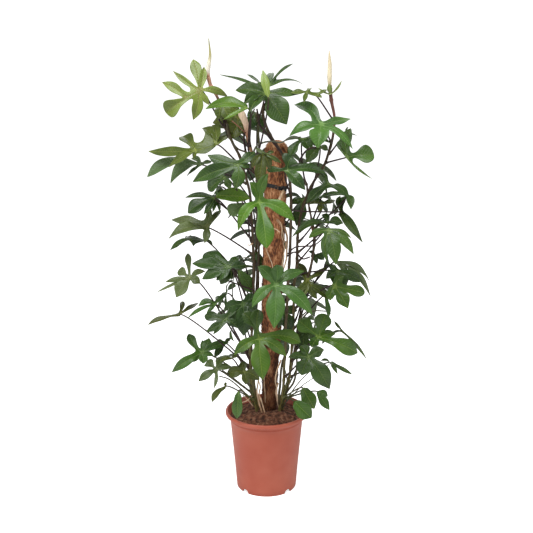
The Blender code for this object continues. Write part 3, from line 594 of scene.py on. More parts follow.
# ---------------------------------------------------------------- vines
# The climbing stems: woody and tan-green at the foot, dark purple-brown up the pole, with
# a swollen ring at every node where a leaf has grown, and pinkish-brown at the young end.
VINES = {
    "vine_left_tall": (0.0040, 0.0036, [
        (-0.029, -0.022, 0.190), (-0.031, -0.024, 0.262), (-0.045, -0.032, 0.330),
        (-0.049, -0.030, 0.400), (-0.043, -0.024, 0.480), (-0.037, -0.020, 0.580),
        (-0.037, -0.020, 0.684), (-0.040, -0.020, 0.800), (-0.050, -0.022, 0.915),
        (-0.072, -0.028, 1.000), (-0.091, -0.026, 1.040), (-0.107, -0.016, 1.085),
        (-0.131, 0.000, 1.160), (-0.151, 0.000, 1.196), (-0.159, 0.000, 1.222)]),
    "vine_left_inner": (0.0038, 0.0030, [
        (-0.024, -0.008, 0.195), (-0.026, -0.009, 0.262), (-0.036, -0.011, 0.330),
        (-0.035, -0.002, 0.400), (-0.029, 0.005, 0.500), (-0.023, 0.004, 0.684),
        (-0.022, -0.002, 0.800), (-0.024, -0.020, 0.915), (-0.037, -0.040, 1.000),
        (-0.051, -0.042, 1.066)]),
    "vine_left_back": (0.0038, 0.0030, [
        (-0.025, 0.010, 0.195), (-0.028, 0.012, 0.262), (-0.043, 0.022, 0.340),
        (-0.044, 0.034, 0.430), (-0.038, 0.040, 0.600), (-0.026, 0.044, 0.800),
        (-0.020, 0.046, 0.960), (-0.023, 0.044, 1.060), (-0.028, 0.036, 1.120)]),
    "vine_crown": (0.0041, 0.0038, [
        (0.038, -0.020, 0.195), (0.040, -0.022, 0.262), (0.050, -0.032, 0.330),
        (0.053, -0.037, 0.420), (0.057, -0.034, 0.560), (0.066, -0.028, 0.740),
        (0.068, -0.030, 0.880), (0.064, -0.040, 0.960), (0.046, -0.052, 1.014),
        (0.006, -0.054, 1.080), (-0.009, -0.054, 1.126), (-0.006, -0.056, 1.158)]),
    "vine_right_tall": (0.0039, 0.0036, [
        (0.047, -0.008, 0.190), (0.050, -0.008, 0.262), (0.063, -0.010, 0.330),
        (0.074, -0.014, 0.430), (0.078, -0.014, 0.593), (0.086, -0.014, 0.712),
        (0.090, -0.016, 0.799), (0.104, -0.012, 0.869), (0.128, -0.006, 0.924),
        (0.160, 0.000, 0.977), (0.175, 0.000, 1.021), (0.184, 0.000, 1.060),
        (0.189, 0.000, 1.113), (0.178, 0.000, 1.160), (0.173, 0.000, 1.200)]),
    "vine_right_outer": (0.0036, 0.0026, [
        (0.044, 0.009, 0.195), (0.047, 0.010, 0.262), (0.067, 0.012, 0.340),
        (0.085, 0.010, 0.441), (0.104, 0.000, 0.593), (0.126, -0.022, 0.700),
        (0.134, -0.032, 0.765), (0.128, -0.034, 0.817), (0.118, -0.034, 0.869),
        (0.112, -0.036, 0.930)]),
    "vine_back": (0.0040, 0.0028, [
        (0.016, 0.034, 0.195), (0.018, 0.036, 0.262), (0.028, 0.050, 0.350),
        (0.030, 0.054, 0.450), (0.030, 0.056, 0.650), (0.034, 0.058, 0.850),
        (0.044, 0.060, 1.000), (0.047, 0.062, 1.035)]),
}
VINE_STEPS = 2
VINE_SIDES = 14
NODE_SPACING = 0.072
NODE_SWELLING = 0.30
WANDER = 0.0030                  # how far a stem strays from its smooth line
noise.seed_set(7)                # fixes the offsets of noise_vector, for stems and roots
BARK_FOOT = (0.190, 0.165, 0.052)
BARK = (0.084, 0.057, 0.029)
YOUNG_SWELL = 0.0024              # extra radius of a vine's young end
# the young end of a vine: where it starts along it, and its colour
YOUNG_ENDS = {"vine_left_tall": (0.90, (0.520, 0.270, 0.180)),
              "vine_left_inner": (0.86, (0.340, 0.180, 0.095)),
              "vine_left_back": (0.72, (0.085, 0.085, 0.034)),
              "vine_right_tall": (0.84, (0.190, 0.076, 0.056))}


def smooth_route(points, steps):
    """Points along a smooth curve through the given ones (Catmull-Rom)."""
    ends = [2 * points[0] - points[1]] + points + [2 * points[-1] - points[-2]]
    route = []
    for before, start, finish, after in zip(ends, ends[1:], ends[2:], ends[3:]):
        for step in range(steps):
            t = step / steps
            route.append(0.5 * (2 * start + (finish - before) * t
                                + (2 * before - 5 * start + 4 * finish - after) * t ** 2
                                + (3 * start - before - 3 * finish + after) * t ** 3))
    return route + [points[-1]]


def taper(start, finish, count):
    """Evenly stepped radii from start to finish."""
    return [start + (finish - start) * step / (count - 1) for step in range(count)]


def vine_route(name):
    return smooth_route([Vector(point) for point in VINES[name][2]], VINE_STEPS)


def vine_at(name, height):
    """Centre, direction and radius of a vine at a height."""
    route = vine_route(name)
    foot, end = VINES[name][:2]
    radii = taper(foot, end, len(route))
    for index in range(len(route) - 1):
        low, high = route[index], route[index + 1]
        if low.z <= height <= high.z:
            share = (height - low.z) / (high.z - low.z)
            return low.lerp(high, share), (high - low).normalized(), radii[index]
    return route[-1], (route[-1] - route[-2]).normalized(), radii[-1]


def stem_finish(name, stops, roughness=0.5, streaky=0.4):
    """Colour that runs along a stem, from its foot to its end, with fine streaks."""
    finish, tree, shader = new_finish(name, roughness)
    colour = steps_of_colour(tree, kept_value(tree, "along").outputs["Fac"], stops)
    streaks = grain(tree, 300.0, 4.0, (1.0, 1.0, 0.2))
    shade = steps_of_colour(tree, streaks, [(0.30, (1.0 - streaky,) * 3),
                                            (0.70, (1.0 + 0.8 * streaky,) * 3)])
    coat(tree, shader, multiply(tree, 1.0, colour, shade), streaks, 0.0005, 1.5 * streaky)
    shader.inputs["Specular IOR Level"].default_value = 0.35
    return finish


def stem_build(tubes, sides):
    """A bmesh of tubes, and the layer that keeps the share of the way along a tube."""
    build = bmesh.new()
    along = build.verts.layers.float.new("along")
    for route, radii in tubes:
        grow_tube(build, route, radii, sides, along=along)
    return build, along


def add_stem(name, build, finish, node):
    """Close off a bmesh of stems as a piece that stands for a node."""
    bmesh.ops.recalc_face_normals(build, faces=build.faces)
    grow_from(place(name, build, [finish]), node)


def build_vines():
    for number, (name, (foot, end, points)) in enumerate(VINES.items()):
        turning, young = YOUNG_ENDS.get(name, (0.90, BARK))
        bark = stem_finish("bark_of_" + name, [(0.0, BARK_FOOT), (0.14, BARK_FOOT), (0.36, BARK),
                                               (turning - 0.06, BARK), (turning, young)])
        chance = random.Random(40 + number)
        route = smooth_route([Vector(point) for point in points], 9)
        radii = taper(foot, end, len(route))
        if young != BARK:
            for index in range(len(radii)):
                radii[index] += YOUNG_SWELL * max(0.0, index / len(radii) - 0.85) / 0.15
        travelled = 0.0
        next_node = chance.uniform(0.02, NODE_SPACING)
        nodes = []
        for index in range(1, len(route)):
            travelled += (route[index] - route[index - 1]).length
            if travelled > next_node:
                nodes.append(travelled)
                next_node += NODE_SPACING * chance.uniform(0.7, 1.15)
        travelled = 0.0
        for index in range(1, len(route)):
            travelled += (route[index] - route[index - 1]).length
            nearest = min((abs(travelled - node) for node in nodes), default=1.0)
            radii[index] *= 1.0 + NODE_SWELLING * math.exp(-(nearest / 0.004) ** 2)
            wander = noise.noise_vector(route[index] * 14.0 + Vector((number, 0, 0)))
            fade = min(1.0, index / 12, (len(route) - 1 - index) / 12)
            route[index] = route[index] + Vector((wander.x, wander.y, 0.0)) * WANDER * fade
        build = stem_build([(route, radii)], VINE_SIDES)[0]
        add_stem(name.replace("vine", "stem"), build, bark, name)


build_vines()


# ---------------------------------------------------------------- sheaths
# The papery sleeve that wraps each growing tip: rusty pink at the foot, bleached in the
# middle, straw-green at the point, with long fine ribs. It stands in line with its vine.
SHEATHS = {
    "sheath_left": ("vine_left_tall", 0.7, [0.0048, 0.0060, 0.0064, 0.0054, 0.0034, 0.0009], [
        (-0.160, 0.000, 1.240), (-0.156, 0.000, 1.262), (-0.153, 0.000, 1.284),
        (-0.1565, 0.000, 1.326)]),
    "sheath_middle": ("vine_left_inner", 0.4, [0.0034, 0.0048, 0.0066, 0.0084, 0.0104, 0.0080], [
        (-0.054, -0.042, 1.086), (-0.058, -0.042, 1.105), (-0.066, -0.042, 1.124),
        (-0.069, -0.042, 1.134)]),
    "sheath_right": ("vine_right_tall", 0.7, [0.0036, 0.0052, 0.0064, 0.0054, 0.0012], [
        (0.172, 0.000, 1.224), (0.172, 0.000, 1.258), (0.170, 0.000, 1.292)]),
}
SHEATH_COLLAR = 0.005
SHEATH_STEPS = 5
SHEATH_SIDES = 16
SHEATH_COLOURS = {
    "sheath_left": [(0.0, (0.36, 0.15, 0.08)), (0.22, (0.55, 0.30, 0.19)), (0.38, (0.85, 0.78, 0.68)),
                    (0.62, (0.80, 0.74, 0.56)), (0.78, (0.42, 0.38, 0.17)), (1.0, (0.30, 0.30, 0.13))],
    "sheath_middle": [(0.0, (0.45, 0.16, 0.08)), (0.30, (0.62, 0.34, 0.22)), (0.60, (0.76, 0.56, 0.41)),
                      (1.0, (0.74, 0.58, 0.40))],
    "sheath_right": [(0.0, (0.42, 0.42, 0.20)), (0.25, (0.68, 0.58, 0.36)), (0.60, (0.82, 0.72, 0.50)),
                     (1.0, (0.66, 0.55, 0.34))],
}


def build_sheaths():
    for name, (vine, flatness, widths, points) in SHEATHS.items():
        below, end = vine_route(vine)[-2:]
        onward = (end - below).normalized()
        route = [end - onward * 0.002, end + onward * SHEATH_COLLAR] + [Vector(point) for point in points]
        fine = smooth_route(route, SHEATH_STEPS)
        radii = []
        for index in range(len(fine)):
            part, share = divmod(index, SHEATH_STEPS)
            wide = widths[min(part + 1, len(widths) - 1)]
            radii.append(widths[part] + (wide - widths[part]) * share / SHEATH_STEPS)
        radii[0] *= 1.12
        build, along = stem_build([(fine, radii)], SHEATH_SIDES)
        for point in build.verts:
            step = round(point[along] * (len(fine) - 1))
            offset = point.co - fine[step]
            onward = (fine[min(step + 1, len(fine) - 1)] - fine[max(step - 1, 0)]).normalized()
            side = Vector((0.0, 1.0, 0.0))
            side = (side - onward * side.dot(onward)).normalized()
            point.co -= side * offset.dot(side) * (1 - flatness)
        papery = stem_finish(name, SHEATH_COLOURS[name], 0.55, 0.16)
        add_stem(name + "_paper", build, papery, name)


build_sheaths()


# ---------------------------------------------------------------- aerial roots
# Pale cord-like roots that the nodes send out: three cling to the coir, and short ones
# hang beside them, hook out from the vines and run down into the mix.
ROOT_RADIUS = 0.0020
ROOT_TIP = 0.0009
ROOT_STEPS = 6
ROOT_WANDER = 0.0008
CLINGING_ROOTS = {
    "root_long": [(-81, 0.829), (-65, 0.819), (-51, 0.804), (-46, 0.780), (-24, 0.747),
                  (-18, 0.715), (-26, 0.692), (-46, 0.671), (-50, 0.645)],
    "root_front": [(-133, 0.748), (-124, 0.735), (-113, 0.723), (-97, 0.703), (-92, 0.688)],
    "root_low": [(-132, 0.400), (-126, 0.370), (-130, 0.335), (-122, 0.300), (-118, 0.272)],
}
ROOT_STOPS = [(0.0, (0.42, 0.25, 0.14)), (0.2, (0.68, 0.46, 0.28)), (1.0, (0.85, 0.66, 0.46))]
# radius at the start and at the end, and the way it takes
FREE_ROOTS = [
    (0.0032, 0.0022, [
        (0.050, -0.018, 0.808), (0.058, -0.012, 0.778), (0.058, -0.010, 0.742), (0.056, -0.010, 0.706),
        (0.048, -0.016, 0.678)]),
    (0.0026, 0.0016, [
        (-0.016, -0.034, 0.280), (-0.022, -0.036, 0.304), (-0.018, -0.036, 0.328), (-0.024, -0.036, 0.352)]),
    (0.0024, 0.0016, [
        (0.042, -0.036, 0.412), (0.030, -0.038, 0.378), (0.026, -0.040, 0.352), (0.030, -0.038, 0.326),
        (0.032, -0.036, 0.294), (0.040, -0.016, 0.250)]),
    (0.0029, 0.0018, [
        (-0.012, -0.034, 0.242), (-0.022, -0.036, 0.278), (-0.028, -0.036, 0.314),
        (-0.024, -0.034, 0.348), (-0.030, -0.032, 0.376)]),
    (0.0023, 0.0016, [
        (-0.004, -0.036, 0.242), (-0.012, -0.036, 0.274), (-0.018, -0.036, 0.294)]),
    (0.0017, 0.0012, [
        (-0.080, -0.052, 0.282), (-0.060, -0.046, 0.288), (-0.042, -0.038, 0.300)]),
    (0.0016, 0.0012, [
        (-0.068, -0.050, 0.306), (-0.054, -0.040, 0.288), (-0.040, -0.028, 0.264)]),
    (0.0023, 0.0017, [
        (0.034, -0.030, 0.338), (0.028, -0.032, 0.308), (0.038, -0.012, 0.244)]),
    (0.0032, 0.0042, [
        (0.048, -0.040, 0.916), (0.038, -0.042, 0.896), (0.026, -0.042, 0.872)]),
    (0.0016, 0.0010, [
        (0.010, -0.034, 0.804), (0.024, -0.036, 0.804), (0.038, -0.034, 0.794)]),
    (0.0020, 0.0014, [
        (-0.038, -0.026, 0.760), (-0.046, -0.032, 0.756), (-0.054, -0.036, 0.758)]),
    (0.0017, 0.0012, [
        (0.056, -0.020, 0.764), (0.050, -0.024, 0.734), (0.044, -0.026, 0.694), (0.036, -0.030, 0.664)]),
    (0.0014, 0.0010, [
        (0.030, -0.034, 0.832), (0.040, -0.034, 0.820), (0.046, -0.030, 0.794), (0.052, -0.022, 0.760)]),
]


def wandering(points):
    """A smooth root route that wanders a little."""
    route = smooth_route(points, ROOT_STEPS)
    return [point + noise.noise_vector(point * 60.0) * ROOT_WANDER for point in route]


def build_roots():
    tan = stem_finish("aerial_root", ROOT_STOPS, 0.7)
    for name, places in CLINGING_ROOTS.items():
        route = wandering([on_pole(heading, height, ROOT_RADIUS) for heading, height in places])
        build = stem_build([(route, taper(ROOT_RADIUS, ROOT_TIP, len(route)))], 8)[0]
        add_stem(name + "_cord", build, tan, name)
    tubes = []
    for start, finish, points in FREE_ROOTS:
        route = wandering([Vector(point) for point in points])
        tubes.append((route, taper(start, finish, len(route))))
    add_stem("free_roots", stem_build(tubes, 7)[0], tan, None)


build_roots()


# ---------------------------------------------------------------- side shoots
# Leafstalks and thin shoots that cross between the vines: their leaves are small, hidden
# or shed. Some are thick and dark, those near the mix are green.
SHOOT_FINISHES = {
    "dark": [(0.0, (0.036, 0.020, 0.017)), (0.6, (0.045, 0.022, 0.020)), (1.0, (0.070, 0.040, 0.030))],
    "olive": [(0.0, (0.070, 0.055, 0.026)), (0.6, (0.090, 0.080, 0.036)), (1.0, (0.060, 0.050, 0.028))],
    "grey": [(0.0, (0.120, 0.120, 0.080)), (1.0, (0.150, 0.160, 0.110))],
    "green": [(0.0, (0.150, 0.165, 0.045)), (0.5, (0.105, 0.115, 0.036)), (1.0, (0.075, 0.075, 0.028))],
    "rust": [(0.0, (0.180, 0.075, 0.036)), (1.0, (0.240, 0.120, 0.050))],
}
SHOOT_SIDES = 10
# name: finish, radius at the start and at the end, and the way it takes
SHOOTS = {
    "crown_second": ("dark", 0.0032, 0.0024, [
        (0.040, -0.060, 1.026), (0.016, -0.062, 1.056), (-0.004, -0.062, 1.082), (-0.018, -0.060, 1.100),
        (-0.022, -0.060, 1.122), (-0.026, -0.060, 1.144)]),
    "inner_dark_left": ("dark", 0.0035, 0.0026, [
        (-0.054, -0.030, 0.998), (-0.058, -0.030, 1.026), (-0.062, -0.028, 1.060), (-0.058, -0.024, 1.086)]),
    "inner_dark_thin": ("dark", 0.0022, 0.0017, [
        (-0.050, -0.060, 1.032), (-0.048, -0.070, 1.082), (-0.044, -0.090, 1.118), (-0.032, -0.110, 1.150)]),
    "curved_left": ("olive", 0.0024, 0.0029, [
        (-0.054, -0.040, 1.022), (-0.078, -0.044, 1.032), (-0.094, -0.050, 1.052),
        (-0.104, -0.050, 1.074), (-0.108, -0.040, 1.100)]),
    "behind_sheath": ("rust", 0.0019, 0.0019, [
        (-0.056, -0.050, 1.076), (-0.094, -0.030, 1.106), (-0.124, -0.020, 1.122)]),
    "arch_over_pole": ("grey", 0.0026, 0.0020, [
        (-0.036, -0.060, 1.026), (-0.026, -0.064, 1.044), (-0.006, -0.066, 1.054), (0.016, -0.064, 1.056),
        (0.040, -0.056, 1.052), (0.064, -0.044, 1.062), (0.094, -0.030, 1.062)]),
    "mid_left_diagonal": ("dark", 0.0024, 0.0020, [
        (-0.026, -0.030, 0.782), (-0.046, -0.040, 0.826), (-0.068, -0.060, 0.890)]),
    "mid_left_grey": ("grey", 0.0019, 0.0016, [
        (-0.094, -0.060, 0.588), (-0.096, -0.070, 0.636), (-0.090, -0.080, 0.694)]),
    "mid_left_cross": ("dark", 0.0023, 0.0019, [
        (-0.050, -0.040, 0.590), (-0.072, -0.060, 0.648), (-0.090, -0.080, 0.694)]),
    "mid_left_level": ("dark", 0.0024, 0.0020, [
        (-0.036, -0.030, 0.622), (-0.074, -0.040, 0.640), (-0.112, -0.050, 0.658)]),
    "mid_left_hook": ("grey", 0.0019, 0.0015, [
        (-0.036, -0.030, 0.704), (-0.050, -0.040, 0.720), (-0.068, -0.060, 0.726), (-0.088, -0.080, 0.724)]),
    "right_thick": ("dark", 0.0029, 0.0020, [
        (0.090, -0.040, 0.994), (0.100, -0.044, 1.016), (0.116, -0.044, 1.032), (0.142, -0.036, 1.036)]),
    "right_level": ("dark", 0.0023, 0.0020, [
        (0.062, -0.040, 0.860), (0.102, -0.050, 0.858), (0.156, -0.030, 0.852), (0.212, 0.010, 0.842)]),
    "right_curl": ("dark", 0.0024, 0.0022, [
        (0.058, -0.040, 0.726), (0.080, -0.056, 0.742), (0.100, -0.060, 0.724), (0.122, -0.056, 0.728)]),
    "right_sweep": ("dark", 0.0022, 0.0017, [
        (0.060, -0.044, 0.734), (0.082, -0.060, 0.758), (0.126, -0.076, 0.766), (0.148, -0.084, 0.782),
        (0.170, -0.090, 0.812)]),
    "right_rust": ("rust", 0.0024, 0.0020, [
        (0.138, -0.020, 0.750), (0.126, -0.030, 0.816), (0.122, -0.030, 0.858), (0.114, -0.030, 0.880)]),
    "right_hoop": ("olive", 0.0023, 0.0018, [
        (0.096, -0.030, 0.526), (0.114, -0.036, 0.552), (0.136, -0.036, 0.562), (0.172, -0.020, 0.556)]),
    "right_hoop_inner": ("olive", 0.0023, 0.0018, [
        (0.092, -0.030, 0.520), (0.102, -0.040, 0.548), (0.122, -0.044, 0.570)]),
    "low_right_long": ("grey", 0.0020, 0.0015, [
        (0.046, -0.008, 0.246), (0.072, -0.030, 0.306), (0.098, -0.040, 0.348), (0.130, -0.040, 0.382)]),
    "low_right_fine": ("grey", 0.0015, 0.0011, [
        (0.056, -0.010, 0.266), (0.102, -0.010, 0.318), (0.138, 0.0, 0.342), (0.192, 0.030, 0.378)]),
    "low_right_shoot": ("olive", 0.0034, 0.0026, [
        (0.038, -0.006, 0.242), (0.058, -0.026, 0.304), (0.078, -0.036, 0.340), (0.086, -0.040, 0.374),
        (0.088, -0.040, 0.408), (0.086, -0.036, 0.442)]),
    "low_right_fork": ("green", 0.0024, 0.0018, [
        (0.052, -0.020, 0.284), (0.084, -0.040, 0.310), (0.110, -0.056, 0.330)]),
    "low_right_close": ("olive", 0.0040, 0.0030, [
        (0.040, -0.014, 0.252), (0.036, -0.034, 0.292), (0.040, -0.030, 0.334), (0.042, -0.030, 0.372),
        (0.048, -0.032, 0.410), (0.060, -0.036, 0.436)]),
    "low_right_inner": ("green", 0.0024, 0.0018, [
        (0.044, -0.020, 0.268), (0.054, -0.034, 0.312), (0.060, -0.040, 0.352), (0.052, -0.042, 0.390)]),
    "low_left_shoot": ("green", 0.0024, 0.0018, [
        (-0.028, -0.012, 0.242), (-0.042, -0.026, 0.276), (-0.068, -0.044, 0.318),
        (-0.106, -0.060, 0.360), (-0.136, -0.076, 0.378)]),
    "low_left_second": ("green", 0.0022, 0.0015, [
        (-0.028, -0.018, 0.244), (-0.036, -0.034, 0.296), (-0.044, -0.044, 0.324), (-0.060, -0.056, 0.364)]),
    "low_left_long": ("olive", 0.0024, 0.0017, [
        (-0.028, -0.012, 0.242), (-0.046, -0.036, 0.308), (-0.076, -0.056, 0.346),
        (-0.100, -0.068, 0.372), (-0.128, -0.078, 0.398)]),
}


def build_shoots():
    finishes = {name: stem_finish("shoot_" + name, stops, 0.45)
                for name, stops in SHOOT_FINISHES.items()}
    for name, (finish, start, end, points) in SHOOTS.items():
        route = smooth_route([Vector(point) for point in points], 8)
        build = stem_build([(route, taper(start, end, len(route)))], SHOOT_SIDES)[0]
        add_stem("shoot_" + name, build, finishes[finish], None)


build_shoots()


